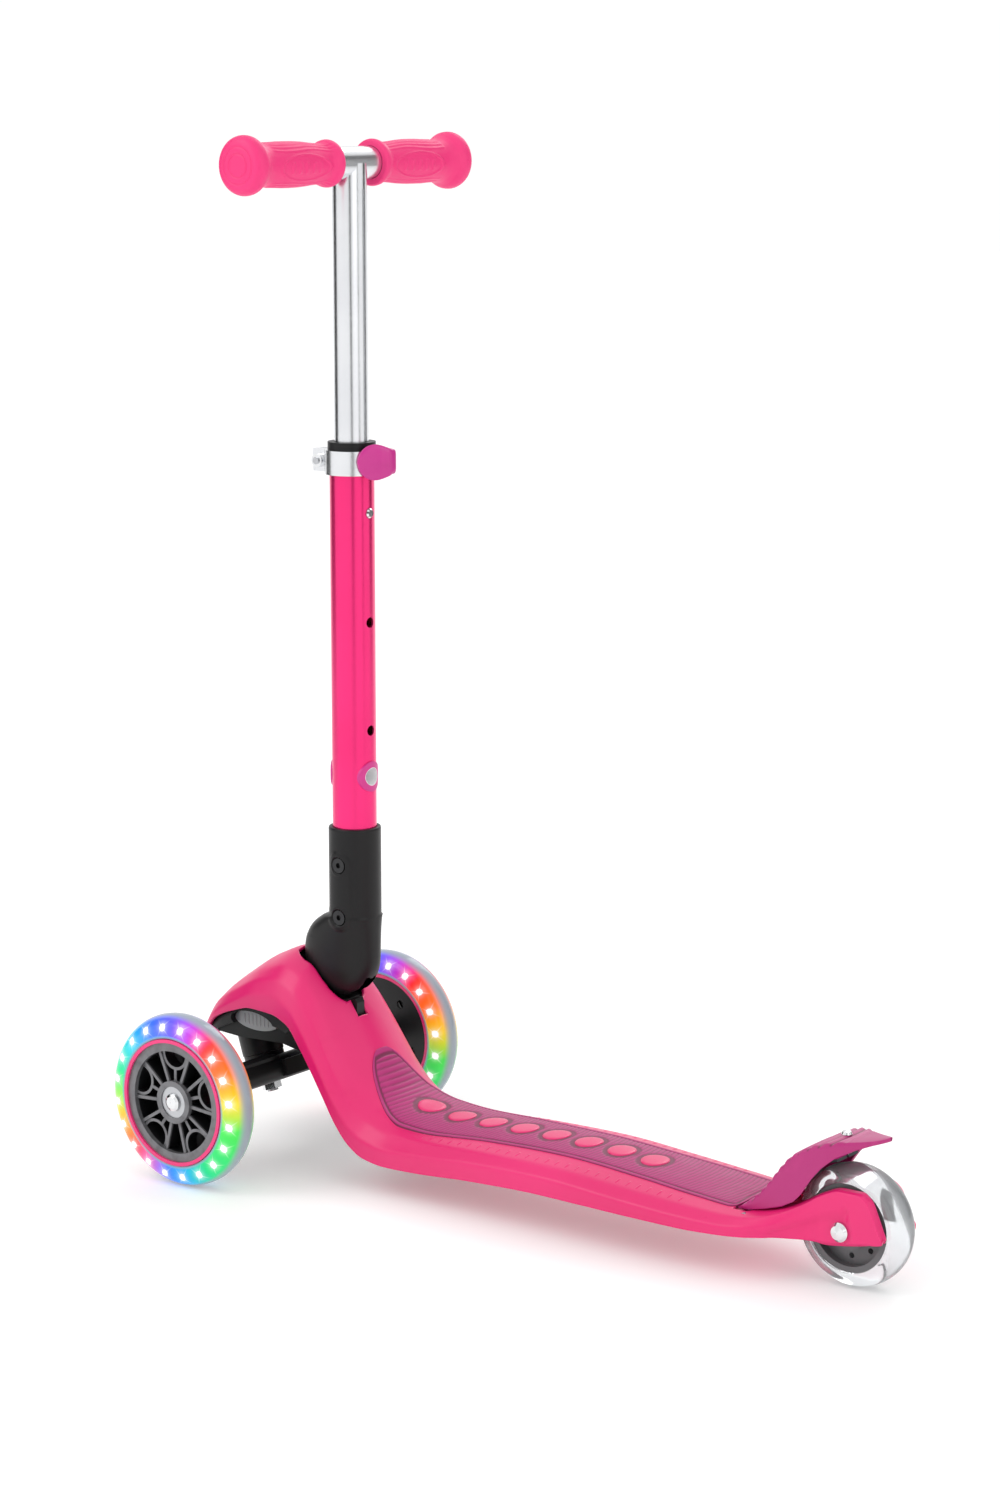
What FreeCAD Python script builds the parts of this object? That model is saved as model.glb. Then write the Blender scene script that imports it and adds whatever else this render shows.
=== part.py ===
import FreeCAD, Part
import math
import os

import Sketcher
from FreeCAD import Placement, Rotation, Vector

# Three-wheeled kick scooter for a small child: a moulded deck with a hood over
# the lean-to-steer front axle, a folding and telescoping T-bar, and a rear
# wheel under a foot brake.  Front is -Y, the rider's left is +X, the floor is
# z = 0 and the origin lies under the middle of the box.  Millimetres.
SIZES = {
    "front_axle_y": -227.1, "front_wheel_radius": 60.5, "front_tyre_width": 24.0,
    "track_half": 111.25, "trim_radius": 44.5, "rim_radius": 42.0, "rim_bore": 36.0,
    "wheelbase": 474.7, "rear_wheel_radius": 40.0, "rear_core_radius": 29.0,
    "bearing_outer": 11.0, "bearing_inner": 4.05, "bearing_width": 7.0,
    "axle_radius": 4.0, "axle_bore": 4.04,
    "column_set": 62.0, "tube_radius": 15.3, "tube_bore": 13.8,
    "tube_foot": 172.0, "tube_top": 503.5, "stem_radius": 11.8, "stem_bore": 10.3,
    "stem_foot": 441.0, "bar_height": 695.0, "bar_radius": 11.0, "bar_bore": 9.5,
    "bar_half": 104.0, "grip_inner_end": 22.0, "grip_half": 111.4,
    "grip_bulb_radius": 19.5, "button_height": 461.0, "hole_pitch": 75.0,
    "snap_radius": 3.4, "snap_hole": 3.6, "grommet_height": 279.0,
    "grommet_bore": 6.0, "grommet_radius": 8.0, "grommet_flange": 10.5,
    "sleeve_radius": 18.15, "sleeve_top": 242.5, "pivot_set": 50.0,
    "pivot_height": 150.0, "barrel_radius": 30.0, "barrel_half": 17.5,
    "lug_half": 5.0, "lug_radius": 20.0, "pivot_pin_radius": 4.0,
    "collar_radius": 18.6, "collar_foot": 487.0, "clamp_bolt_height": 495.0,
    "kingpin_set": -24.5, "kingpin_tilt": 18.0, "kingpin_radius": 4.0,
    "hub_radius": 14.5, "hub_foot": -17.0, "hub_top": 3.8, "boss_foot": 4.2,
    "boss_radius": 15.0, "beam_radius": 9.0, "beam_half": 97.0,
    "pad_thickness": 1.8, "skin": 2.6, "wheel_slot_half": 14.5, "fork_half": 21.0,
    "brake_pin_set": 412.0, "brake_pin_height": 41.0, "fold_button_set": -2.0,
    "fold_button_height": 99.0,
}

doc = FreeCAD.newDocument("KickScooter")
sheet = doc.addObject("Spreadsheet::Sheet", "Sizes")
for row, (alias, value) in enumerate(SIZES.items(), start=1):
    sheet.set(f"A{row}", alias)
    sheet.set(f"B{row}", str(value))
    sheet.setAlias(f"B{row}", alias)
doc.recompute()

NODES = []
X_AXIS = Vector(1, 0, 0)
Y_AXIS = Vector(0, 1, 0)
Z_AXIS = Vector(0, 0, 1)
ALONG_X = Rotation(Y_AXIS, 90)
ALONG_MINUS_X = Rotation(Y_AXIS, -90)
ALONG_Y = Rotation(X_AXIS, -90)
UPRIGHT = Rotation()


def size(alias):
    """A driving dimension read back from the sheet."""
    return float(sheet.get(alias))


def at(alias, offset=0.0):
    """A sketch coordinate bound to a cell plus a fixed offset: (value, formula)."""
    return size(alias) + offset, f"Sizes.{alias} + ({offset})"


def back(distance):
    """The y of a place that lies this far behind the front axle."""
    return size("front_axle_y") + distance


FRONT_AXLE = Vector(0, back(0), size("front_wheel_radius"))
REAR_AXLE = Vector(0, back(size("wheelbase")), size("rear_wheel_radius"))
COLUMN_Y = back(size("column_set"))
COLUMN = Vector(0, COLUMN_Y, 0)
PIVOT = Vector(0, back(size("pivot_set")), size("pivot_height"))
KINGPIN = Vector(0, back(size("kingpin_set")), size("front_wheel_radius"))
KINGPIN_TURN = Rotation(X_AXIS, size("kingpin_tilt"))


# ---------------------------------------------------------------- builders
def turned(label, outline, base, rotation=UPRIGHT, arcs=None):
    """A body of revolution about its own Z axis.

    outline lists (radius, height) corners; a corner given by at() is bound to
    the sheet.  arcs maps the number of an edge to the radius of the arc that
    replaces it, bulging away from the axis.
    """
    body = doc.addObject("PartDesign::Body", label)
    sketch = body.newObject("Sketcher::SketchObject", label + "_outline")
    plane = [item for item in body.Origin.OriginFeatures if item.Role == "XZ_Plane"][0]
    sketch.AttachmentSupport = [(plane, "")]
    sketch.MapMode = "FlatFace"
    corners = []
    for corner in outline:
        corners.append([item if isinstance(item, tuple) else (item, None) for item in corner])
    lift = min(corner[1][0] for corner in corners)
    points = [Vector(corner[0][0], corner[1][0] - lift, 0) for corner in corners]
    ends = []
    for number, start in enumerate(points):
        stop = points[(number + 1) % len(points)]
        if arcs and number in arcs:
            middle = (start + stop) * 0.5
            chord = stop - start
            normal = Vector(chord.y, -chord.x, 0).normalize()
            if normal.x < 0:
                normal = normal * -1
            radius = arcs[number]
            sag = radius - math.sqrt(radius ** 2 - (chord.Length / 2) ** 2)
            edge = Part.Arc(start, middle + normal * sag, stop)
            index = sketch.addGeometry(edge, False)
            drawn = sketch.Geometry[index]
            forward = drawn.StartPoint.distanceToPoint(start) < 1e-6
            ends.append((index, 1 if forward else 2, 2 if forward else 1))
            sketch.addConstraint(Sketcher.Constraint("Radius", index, radius))
        else:
            index = sketch.addGeometry(Part.LineSegment(start, stop), False)
            ends.append((index, 1, 2))
    for number, (index, first, last) in enumerate(ends):
        following = ends[(number + 1) % len(ends)]
        sketch.addConstraint(Sketcher.Constraint("Coincident", index, last, following[0], following[1]))
    for (index, first, last), corner, point in zip(ends, corners, points):
        across = sketch.addConstraint(Sketcher.Constraint("DistanceX", -1, 1, index, first, point.x))
        if corner[0][1]:
            sketch.setExpression(f"Constraints[{across}]", corner[0][1])
        upward = sketch.addConstraint(Sketcher.Constraint("DistanceY", -1, 1, index, first, point.y))
        if corner[1][1]:
            sketch.setExpression(f"Constraints[{upward}]", f"{corner[1][1]} - ({lift})")
    revolution = body.newObject("PartDesign::Revolution", label + "_turned")
    revolution.Profile = sketch
    revolution.ReferenceAxis = (sketch, ["V_Axis"])
    revolution.Angle = 360
    body.Placement = Placement(base + rotation.multVec(Vector(0, 0, lift)), rotation)
    NODES.append(body)
    return body


def tube_outline(outer, inner, low, high):
    """Four corners of a plain ring or tube."""
    return [(inner, low), (outer, low), (outer, high), (inner, high)]


def rod(radius, start, stop):
    """A plain cylinder between two points."""
    way = stop - start
    return Part.makeCylinder(radius, way.Length, start, way)


def block(low, high):
    """A box between two opposite corners."""
    span = high - low
    return Part.makeBox(span.x, span.y, span.z, low)


def prism_x(points, half):
    """A side outline of (distance behind front axle, height) pairs, |x| < half."""
    corners = [Vector(-half, back(behind), height) for behind, height in points]
    face = Part.Face(Part.makePolygon(corners + corners[:1]))
    return face.extrude(Vector(2 * half, 0, 0))


def plan_prism(points, low, high):
    """A plan outline of (x, distance behind front axle) pairs, mirrored in x."""
    right = [Vector(x, back(behind), low) for x, behind in points]
    left = [Vector(-corner.x, corner.y, low) for corner in reversed(right) if corner.x > 0]
    corners = right + left
    face = Part.Face(Part.makePolygon(corners + corners[:1]))
    return face.extrude(Vector(0, 0, high - low))


def piece(label, shape, placement=None):
    """A sub-part whose shape is neither turned nor a plain primitive."""
    if shape.ShapeType == "Compound" and len(shape.Solids) == 1:
        shape = shape.Solids[0]
    feature = doc.addObject("Part::Feature", label)
    feature.Shape = shape
    if placement:
        feature.Placement = placement
    NODES.append(feature)
    return feature


def group(shapes):
    """Several separate solids that make one sub-part."""
    solids = []
    for shape in shapes:
        solids.extend(shape.Solids)
    return Part.makeCompound(solids)


def mirrored_pair(shape):
    """A solid and its twin on the other side of the centre plane."""
    return [shape, shape.mirror(Vector(0, 0, 0), X_AXIS)]


# ------------------------------------------------- deck form (hood to fork)
# Each station: distance behind the front axle, then half width and height of
# the lower rim, of the side crease and of the shoulder, then the crest height.
STATIONS = [
    (-58, 18, 76, 20, 79, 12, 84, 86),
    (-50, 33, 84, 34, 88, 22, 97, 102),
    (-38, 39, 96, 38, 101, 25, 112, 117),
    (-20, 41, 104, 40, 111, 26, 125, 131.5),
    (0, 42, 109, 40.5, 119, 27, 136, 144),
    (20, 43, 108, 41.5, 121, 28.5, 141, 151),
    (35, 44, 103, 43, 115, 30, 137, 148),
    (48, 46, 90, 45, 103, 31, 125, 136),
    (60, 47.5, 75, 46.5, 88, 32, 109, 120),
    (72, 48.5, 58, 48, 71, 33, 91, 103),
    (84, 49.5, 41, 49, 55, 33, 75, 87),
    (96, 50, 29, 50.5, 43, 33, 62, 73),
    (110, 51, 22.5, 51.5, 36, 32.5, 53.5, 60.5),
    (128, 51.5, 20.5, 52.7, 33.5, 32, 48.5, 53),
    (155, 52, 21.5, 53.5, 35.5, 31.5, 47, 50.5),
    (205, 52, 25.5, 54, 40, 31.5, 49, 52),
    (265, 52, 28, 54, 42, 31.5, 50, 53),
    (325, 51.5, 28, 53.2, 39, 31.5, 47.5, 50.5),
    (370, 50, 28, 51.2, 36.8, 31, 45, 47.5),
    (405, 46, 28.5, 47, 36, 30, 43.5, 45.5),
]


def station_wire(station, inset, lift):
    """The closed cross-section at a station, set in and lifted by given amounts."""
    behind, low_w, low_z, mid_w, mid_z, top_w, top_z, crest = station
    y = back(behind)
    half = [
        (low_w - inset, low_z + min(lift, 0) - (4 if inset else 0)),
        (mid_w - inset, mid_z + lift),
        ((mid_w + top_w) / 2 + 1.2 - inset, (mid_z + top_z) / 2 + 1.6 + lift),
        (top_w - inset, top_z + lift),
        (top_w * 0.55, (crest - top_z) * 0.72 + top_z + lift),
        (0, crest + lift),
    ]
    right = [Vector(x, y, z) for x, z in half]
    left = [Vector(-x, y, z) for x, z in reversed(half[:-1])]
    curve = Part.BSplineCurve()
    curve.interpolate(right + left)
    floor = Part.LineSegment(left[-1], right[0])
    return Part.Wire([curve.toShape(), floor.toShape()])


def deck_solid(inset=0.0, lift=0.0, first=0, last=None):
    """The deck form as one solid, optionally smaller or moved up or down."""
    wires = [station_wire(station, inset, lift) for station in STATIONS[first:last]]
    return Part.makeLoft(wires, True, False)


def crown_solid(low, high):
    """A thin curved sheet that follows the deck's top, from low to high above it."""
    wires = []
    for station in STATIONS[9:]:
        y = back(station[0])
        top_w, top_z, crest = station[5:8]
        edges = []
        for lift in (high, low):
            row = []
            for x in (-38, -19, 0, 19, 38):
                row.append(Vector(x, y, crest - (crest - top_z) * (x / top_w) ** 2 + lift))
            curve = Part.BSplineCurve()
            curve.interpolate(row)
            edges.append((curve.toShape(), row))
        (top, top_row), (under, under_row) = edges
        left = Part.LineSegment(top_row[0], under_row[0]).toShape()
        right = Part.LineSegment(top_row[-1], under_row[-1]).toShape()
        wires.append(Part.Wire([top, right, under, left]))
    return Part.makeLoft(wires, True, False)


FORK_SIDE = [
    (398, 29), (427, 30.5), (445, 28.5), (459, 27), (487, 32.5), (502, 37.5), (506, 43),
    (499, 59), (495, 64.5), (488, 67.5), (474, 67), (460, 62), (445, 53.5), (425, 46), (398, 42),
]
FORK_PLAN = [
    (30, 398), (47, 398), (45, 415), (38.5, 428), (29, 440), (22.5, 451), (21, 460), (21, 507), (14.5, 507),
]
PAD_PLAN = [
    (0, 84), (9, 85.5), (17, 90.5), (26, 104), (33, 118), (36, 131), (35.8, 150), (34, 172),
    (31, 210), (29, 250), (28.5, 290), (29, 330), (29.8, 370), (29.5, 394), (20, 398.5), (0, 400),
]
FRAME_BLOCK = [
    (-44, 94), (-20, 102), (0, 106), (20, 105), (34, 100), (46, 87), (58, 72), (70, 56), (84, 40),
    (78, 36), (62, 55), (50, 71), (38, 83), (20, 86), (-20, 84), (-40, 85),
]
# The core stays behind the shell's lower rim down the neck.
BELOW_RIM = [
    (30, 0), (110, 0), (110, 33), (96, 34), (84, 46), (72, 63), (60, 80), (48, 95), (38, 101), (30, 96),
]
NUB_HALF = 4.0
SCREW_HEIGHTS = (217, 180)
slot_clear = size("barrel_radius") + 1.2
slot_half = size("barrel_half") + 1.0
wheel_slot = size("wheel_slot_half")

# Room for the folding knuckle: its round foot and the sweep of the sleeve.
knuckle_room = rod(slot_clear, PIVOT - X_AXIS * slot_half, PIVOT + X_AXIS * slot_half)
knuckle_room = knuckle_room.fuse(block(
    Vector(-slot_half, back(50), 118.5), Vector(slot_half, back(82), 170)))
nub_room = block(
    Vector(-NUB_HALF - 1.5, back(58), 104), Vector(NUB_HALF + 1.5, back(68.5), 125))
rear_axle_bore = rod(size("axle_bore"), REAR_AXLE - X_AXIS * 40, REAR_AXLE + X_AXIS * 40)
brake_pin_at = Vector(0, back(size("brake_pin_set")), size("brake_pin_height"))


def make_deck_shell():
    """Moulded footplate with its hood, side skirts, inside ribs and rear fork."""
    outer = deck_solid()
    cavity = deck_solid(size("skin"), -size("skin") - 1.4)
    cavity = cavity.common(block(Vector(-60, back(-54), 0), Vector(60, back(398), 200)))
    pad_column = plan_prism(PAD_PLAN, 30, 140)
    pad_recess = crown_solid(-1.0, 5.0).common(pad_column)
    ribs = []
    for behind in range(150, 391, 40):
        ribs.append(block(Vector(-50, back(behind), 29.5), Vector(50, back(behind) + 2, 60)))
    for across in (-20, 20):
        ribs.append(block(Vector(across - 1, back(120), 29.5), Vector(across + 1, back(396), 60)))
    inside = cavity.common(block(Vector(-60, back(100), 29.5), Vector(60, back(398), 60)))
    web = ribs[0].multiFuse(ribs[1:]).common(inside)
    fork = prism_x(FORK_SIDE, 60).common(plan_prism(FORK_PLAN, 20, 80))
    floor = block(Vector(-31, back(396), 29), Vector(31, back(428), 35.5))
    shell = outer.cut(cavity).cut(pad_recess)
    shell = shell.multiFuse([web, fork, floor])
    shell = shell.cut(plan_prism([(0, 400.5), (31, 400.5), (31, 412), (14.5, 430), (0, 430)], 36, 90))
    shell = shell.cut(block(Vector(-wheel_slot, back(429), 0), Vector(wheel_slot, back(520), 120)))
    shell = shell.cut(knuckle_room).cut(nub_room).cut(rear_axle_bore)
    shell = shell.cut(rod(2.5, brake_pin_at - X_AXIS * 40, brake_pin_at + X_AXIS * 40))
    for side in (-1, 1):
        face = REAR_AXLE + X_AXIS * side * (size("fork_half") - 2)
        shell = shell.cut(rod(8.5, face, face + X_AXIS * side * 20))
    return shell.removeSplitter()


piece("deck_shell", make_deck_shell())

# Non-slip mat let into the top of the deck, climbing the neck with a round tip.
pad_top = size("pad_thickness") - 1.0
piece("footplate_pad", crown_solid(-1.0, pad_top).common(plan_prism(PAD_PLAN, 30, 140)))

# Row of plain oval studs of the deck colour showing through the mat.
stud_layer = crown_solid(pad_top, pad_top + 1.0)
studs = []
for number in range(8):
    centre = Vector(0, back(130 + 27 * number), 30)
    ellipse = Part.Ellipse(centre, 11.0, 9.0)
    column = Part.Face(Part.Wire(ellipse.toShape())).extrude(Vector(0, 0, 60))
    studs.append(column.common(stud_layer))
piece("pad_studs", group(studs))


def make_inner_frame():
    """Black structural core under the hood with the kingpin boss and hinge lug."""
    core = deck_solid(3.4, -4.6, 1, 13)
    core = core.common(block(Vector(-60, back(-46), 0), Vector(60, back(96), 200)))
    core = core.cut(prism_x(BELOW_RIM, 60))
    core = core.fuse(prism_x(FRAME_BLOCK, 32))
    boss = Part.makeCylinder(size("boss_radius"), 32, Vector(0, 0, size("boss_foot")))
    boss.Placement = Placement(KINGPIN, KINGPIN_TURN)
    core = core.fuse(boss)
    hollow = block(Vector(-27, back(-38), 70), Vector(27, back(-14), 99))
    core = core.cut(hollow.cut(boss.copy()))
    core = core.cut(knuckle_room)
    lug = rod(size("lug_radius"), PIVOT - X_AXIS * size("lug_half"), PIVOT + X_AXIS * size("lug_half"))
    stem = prism_x([(54.3, 145.3), (45.7, 154.7), (13.2, 125.0), (21.9, 115.6)], size("lug_half"))
    nub = prism_x([(59.5, 90), (59.5, 117), (61.5, 119.4), (64.5, 119.4), (66, 116.5), (66, 90)], NUB_HALF)
    core = core.multiFuse([lug, stem, nub])
    core = core.cut(rod(size("pivot_pin_radius"), PIVOT - X_AXIS * 20, PIVOT + X_AXIS * 20))
    pin = Part.makeCylinder(size("kingpin_radius"), 60, Vector(0, 0, -20))
    head = Part.makeCylinder(7.0, 20, Vector(0, 0, 30))
    bush = Part.makeCylinder(9.2, 10.4, Vector(0, 0, size("boss_foot")))
    for tool in (pin, head, bush):
        tool.Placement = Placement(KINGPIN, KINGPIN_TURN)
        core = core.cut(tool)
    return core.cut(button_room()).removeSplitter()


def button_room():
    """Oval well for the release button, with the bores for its rod and spring."""
    centre = Vector(23.5, back(size("fold_button_set")), size("fold_button_height"))
    well = Part.Face(Part.Wire(Part.Ellipse(
        centre + Y_AXIS * 20.3, centre + Z_AXIS * 7.4, centre).toShape())).extrude(X_AXIS * 30)
    guide = rod(3.04, centre - X_AXIS * 30, centre)
    spring = rod(5.6, centre - X_AXIS * 12, centre + X_AXIS)
    return well.multiFuse([guide, spring])


piece("inner_frame", make_inner_frame())

# ------------------------------------------------------------- fold release
button_centre = Vector(32.2, back(size("fold_button_set")), size("fold_button_height"))
button_face = Part.Face(Part.Wire(Part.Ellipse(
    button_centre + Y_AXIS * 20.0, button_centre + Z_AXIS * 7.1, button_centre).toShape()))
button_cap = button_face.extrude(X_AXIS * -4.8)
button_dome = button_face.extrude(X_AXIS * 1.2)
button_rod = rod(3.0, button_centre - X_AXIS * 30, button_centre - X_AXIS * 2)
piece("fold_button", button_cap.multiFuse([button_dome, button_rod]).removeSplitter())


def coil(wire, radius, length, turns, place):
    """A compression spring drawn as separate closely spaced rings."""
    rings = []
    pitch = length / turns
    for number in range(turns):
        ring = Part.makeTorus(radius, wire, Vector(0, 0, pitch * (number + 0.5)))
        rings.append(ring)
    compound = Part.makeCompound(rings)
    compound.Placement = place
    return compound


spring_foot = Vector(11.6, back(size("fold_button_set")), size("fold_button_height"))
piece("fold_button_spring", coil(0.5, 4.2, 8.0, 5, Placement(spring_foot, ALONG_X)))

# ------------------------------------------------------------ folding hinge
turned("fold_pivot_pin", [(0, 0), (size("pivot_pin_radius"), 0), (size("pivot_pin_radius"), 29), (0, 29)],
       PIVOT - X_AXIS * 14.5, ALONG_X)


def make_hinge_sleeve():
    """Moulded knuckle: round hinge foot, slotted over the lug, and tube socket."""
    socket = Part.makeCylinder(size("sleeve_radius"), size("sleeve_top") - 150, COLUMN + Z_AXIS * 150)
    barrel = rod(size("barrel_radius"), PIVOT - X_AXIS * size("barrel_half"),
                 PIVOT + X_AXIS * size("barrel_half"))
    panel = block(Vector(14, COLUMN_Y - 8, 168), Vector(size("sleeve_radius") + 0.6, COLUMN_Y + 8, 229))
    body = socket.multiFuse([barrel, panel])
    body = body.cut(Part.makeCylinder(size("tube_radius") + 0.02, 80, COLUMN + Z_AXIS * size("tube_foot")))
    slot_half_width = size("lug_half") + 0.35
    hollow = rod(size("lug_radius") + 0.6, PIVOT - X_AXIS * slot_half_width, PIVOT + X_AXIS * slot_half_width)
    # The lug's stem sweeps this wedge of the foot while the bar folds.
    wedge = prism_x([(50, 150), (14, 135), (14, 108), (92, 108), (92, 128)], slot_half_width)
    pin_bore = rod(size("pivot_pin_radius") + 0.04, PIVOT - X_AXIS * 14.6, PIVOT + X_AXIS * 14.6)
    body = body.cut(hollow).cut(wedge).cut(pin_bore)
    for height in SCREW_HEIGHTS:
        place = Vector(0, COLUMN_Y, height)
        body = body.cut(rod(2.5, place - X_AXIS * 15.9, place + X_AXIS * 15))
        body = body.cut(rod(5.4, place + X_AXIS * 14.8, place + X_AXIS * 25))
    return body.removeSplitter()


piece("hinge_sleeve", make_hinge_sleeve())


def make_sleeve_screws():
    """Two recessed socket screws that pin the lower tube in the sleeve."""
    screws = []
    for height in SCREW_HEIGHTS:
        place = Vector(0, COLUMN_Y, height)
        shank = rod(2.48, place - X_AXIS * 15.8, place + X_AXIS * 15)
        head = rod(5.2, place + X_AXIS * 15.42, place + X_AXIS * 18.2)
        neck = rod(2.48, place + X_AXIS * 14, place + X_AXIS * 16)
        socket = rod(1.9, place + X_AXIS * 16.4, place + X_AXIS * 19)
        screws.append(shank.multiFuse([neck, head]).cut(socket).removeSplitter())
    return group(screws)


piece("sleeve_screws", make_sleeve_screws())

# ---------------------------------------------------------------- lower tube
lower = doc.addObject("Part::Cylinder", "lower_tube_outside")
lower_bore = doc.addObject("Part::Cylinder", "lower_tube_inside")
for cylinder, radius in ((lower, "tube_radius"), (lower_bore, "tube_bore")):
    cylinder.setExpression("Radius", f"Sizes.{radius}")
    cylinder.setExpression("Height", "Sizes.tube_top - Sizes.tube_foot")
    cylinder.Placement = Placement(COLUMN + Z_AXIS * size("tube_foot"), UPRIGHT)
holes = []
for step in range(3):
    hole = doc.addObject("Part::Cylinder", f"height_hole_{step}")
    hole.setExpression("Radius", "Sizes.snap_hole")
    hole.Height = 20
    hole.Placement = Placement(COLUMN + Z_AXIS * size("button_height"), ALONG_Y)
    hole.setExpression("Placement.Base.z", f"Sizes.button_height - {step} * Sizes.hole_pitch")
    holes.append(hole)
window = doc.addObject("Part::Cylinder", "grommet_window")
window.setExpression("Radius", "Sizes.grommet_radius + 0.03")
window.Height = 40
window.Placement = Placement(COLUMN - Y_AXIS * 20, ALONG_Y)
window.setExpression("Placement.Base.z", "Sizes.grommet_height")
screw_ways = []
for number, height in enumerate(SCREW_HEIGHTS):
    way = doc.addObject("Part::Cylinder", f"screw_way_{number}")
    way.Radius = 2.5
    way.Height = 40
    way.Placement = Placement(COLUMN - X_AXIS * 20 + Z_AXIS * height, ALONG_X)
    screw_ways.append(way)
lower_tools = doc.addObject("Part::MultiFuse", "lower_tube_openings")
lower_tools.Shapes = [lower_bore, window] + holes + screw_ways
lower_tube = doc.addObject("Part::Cut", "lower_tube")
lower_tube.Base = lower
lower_tube.Tool = lower_tools
NODES.append(lower_tube)

# Plastic grommet that lines the cross hole of the lower tube.
grommet_at = COLUMN + Z_AXIS * size("grommet_height")
grommet_reach = size("tube_radius") + 1.2
barrel = rod(size("grommet_radius"), grommet_at - Y_AXIS * 20, grommet_at + Y_AXIS * 20)
flange = rod(size("grommet_flange"), grommet_at - Y_AXIS * 20, grommet_at + Y_AXIS * 20)
jacket = Part.makeCylinder(grommet_reach, 40, grommet_at - Z_AXIS * 20)
sheath = jacket.cut(Part.makeCylinder(size("tube_radius") + 0.02, 60, grommet_at - Z_AXIS * 30))
grommet = barrel.common(jacket).fuse(flange.common(sheath))
grommet = grommet.cut(rod(size("grommet_bore"), grommet_at - Y_AXIS * 30, grommet_at + Y_AXIS * 30))
piece("tube_grommet", grommet.removeSplitter())


# -------------------------------------------------------------- quick clamp
CLAMP_REACH = 24.0


def make_collar():
    """Split aluminium collar with two ears at the front for the clamp bolt."""
    foot = size("collar_foot")
    tall = size("tube_top") - foot
    ring = Part.makeCylinder(size("collar_radius"), tall, COLUMN + Z_AXIS * foot)
    ears = block(Vector(-5.5, COLUMN_Y - 30, foot + 0.5), Vector(5.5, COLUMN_Y - 12, foot + tall - 0.5))
    ring = ring.fuse(ears)
    ring = ring.cut(Part.makeCylinder(size("tube_radius") + 0.02, 40, COLUMN + Z_AXIS * (foot - 5)))
    ring = ring.cut(block(Vector(-1.2, COLUMN_Y - 40, foot - 5), Vector(1.2, COLUMN_Y - 5, foot + 30)))
    bolt = Vector(0, COLUMN_Y - CLAMP_REACH, size("clamp_bolt_height"))
    return ring.cut(rod(2.55, bolt - X_AXIS * 20, bolt + X_AXIS * 20)).removeSplitter()


piece("clamp_collar", make_collar())
turned("clamp_bush", [(12.0, 470), (13.76, 470), (13.76, 503.55), (16.4, 503.55), (16.4, 509), (12.0, 509)],
       COLUMN)
clamp_bolt_at = Vector(0, COLUMN_Y - CLAMP_REACH, size("clamp_bolt_height"))
clamp_pin_at = Vector(-13.0, COLUMN_Y - CLAMP_REACH, size("clamp_bolt_height"))
turned("clamp_bolt", [(0, 0), (2.5, 0), (2.5, 20.0), (0, 20.0)], clamp_bolt_at - X_AXIS * 9.98, ALONG_X)
nut = Part.makeCylinder(4.6, 3.4, Vector(5.6, clamp_bolt_at.y, clamp_bolt_at.z), X_AXIS)
nut = nut.cut(rod(2.5, clamp_bolt_at, clamp_bolt_at + X_AXIS * 20))
piece("clamp_nut", nut)
turned("clamp_barrel_pin", [(0, 0), (3.0, 0), (3.0, 13), (0, 13)], clamp_pin_at - Z_AXIS * 6.5)


def ring_sector(inner, outer, start, stop, low, high):
    """A piece of a vertical tube about the column; angles from +Y towards -X."""
    ring = Part.makeCylinder(outer, high - low, COLUMN + Z_AXIS * low, Z_AXIS, stop - start)
    ring = ring.cut(Part.makeCylinder(inner, high - low, COLUMN + Z_AXIS * low))
    ring.rotate(COLUMN, Z_AXIS, 90 + start)
    return ring


def make_clamp_lever():
    """Curved cam lever that wraps round the column, with a round thumb pad."""
    arm = ring_sector(20.4, 23.4, 0, 153, 489, 503)
    pad = ring_sector(20.4, 23.4, -38, 12, 470, 520).common(
        rod(13.0, COLUMN + Vector(3, 15, 495), COLUMN + Vector(3, 40, 495)))
    cam = Part.makeCylinder(6.2, 14, clamp_pin_at + Z_AXIS * -6)
    lever = arm.multiFuse([pad, cam])
    lever = lever.cut(Part.makeCylinder(3.04, 30, clamp_pin_at - Z_AXIS * 15))
    lever = lever.cut(block(
        Vector(-20, clamp_pin_at.y - 8, 491.6), Vector(-5.8, clamp_pin_at.y + 3.2, 498.4)))
    return lever.removeSplitter()


piece("clamp_lever", make_clamp_lever())

# ------------------------------------------------------------- stem and bar
stem_tube = doc.addObject("Part::Cylinder", "stem_outside")
stem_inside = doc.addObject("Part::Cylinder", "stem_inside")
for cylinder, radius in ((stem_tube, "stem_radius"), (stem_inside, "stem_bore")):
    cylinder.setExpression("Radius", f"Sizes.{radius}")
    cylinder.setExpression("Height", "Sizes.bar_height - Sizes.stem_foot")
    cylinder.Placement = Placement(COLUMN + Z_AXIS * size("stem_foot"), UPRIGHT)
saddle = doc.addObject("Part::Cylinder", "stem_saddle")
saddle.setExpression("Radius", "Sizes.bar_radius")
saddle.Height = 60
saddle.Placement = Placement(COLUMN + Z_AXIS * size("bar_height") - X_AXIS * 30, ALONG_X)
snap_way = doc.addObject("Part::Cylinder", "stem_snap_hole")
snap_way.setExpression("Radius", "Sizes.snap_radius + 0.05")
snap_way.Height = 20
snap_way.Placement = Placement(COLUMN + Z_AXIS * size("button_height"), ALONG_Y)
keyway = doc.addObject("Part::Box", "stem_keyway")
keyway.Length = 2.0
keyway.Width = 2.0
keyway.setExpression("Height", "Sizes.bar_height - Sizes.stem_foot - 47")
keyway.Placement = Placement(
    COLUMN + Vector(-1.0, size("stem_radius") - 0.7, size("stem_foot") + 30), UPRIGHT)
stem_tools = doc.addObject("Part::MultiFuse", "stem_openings")
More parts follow.
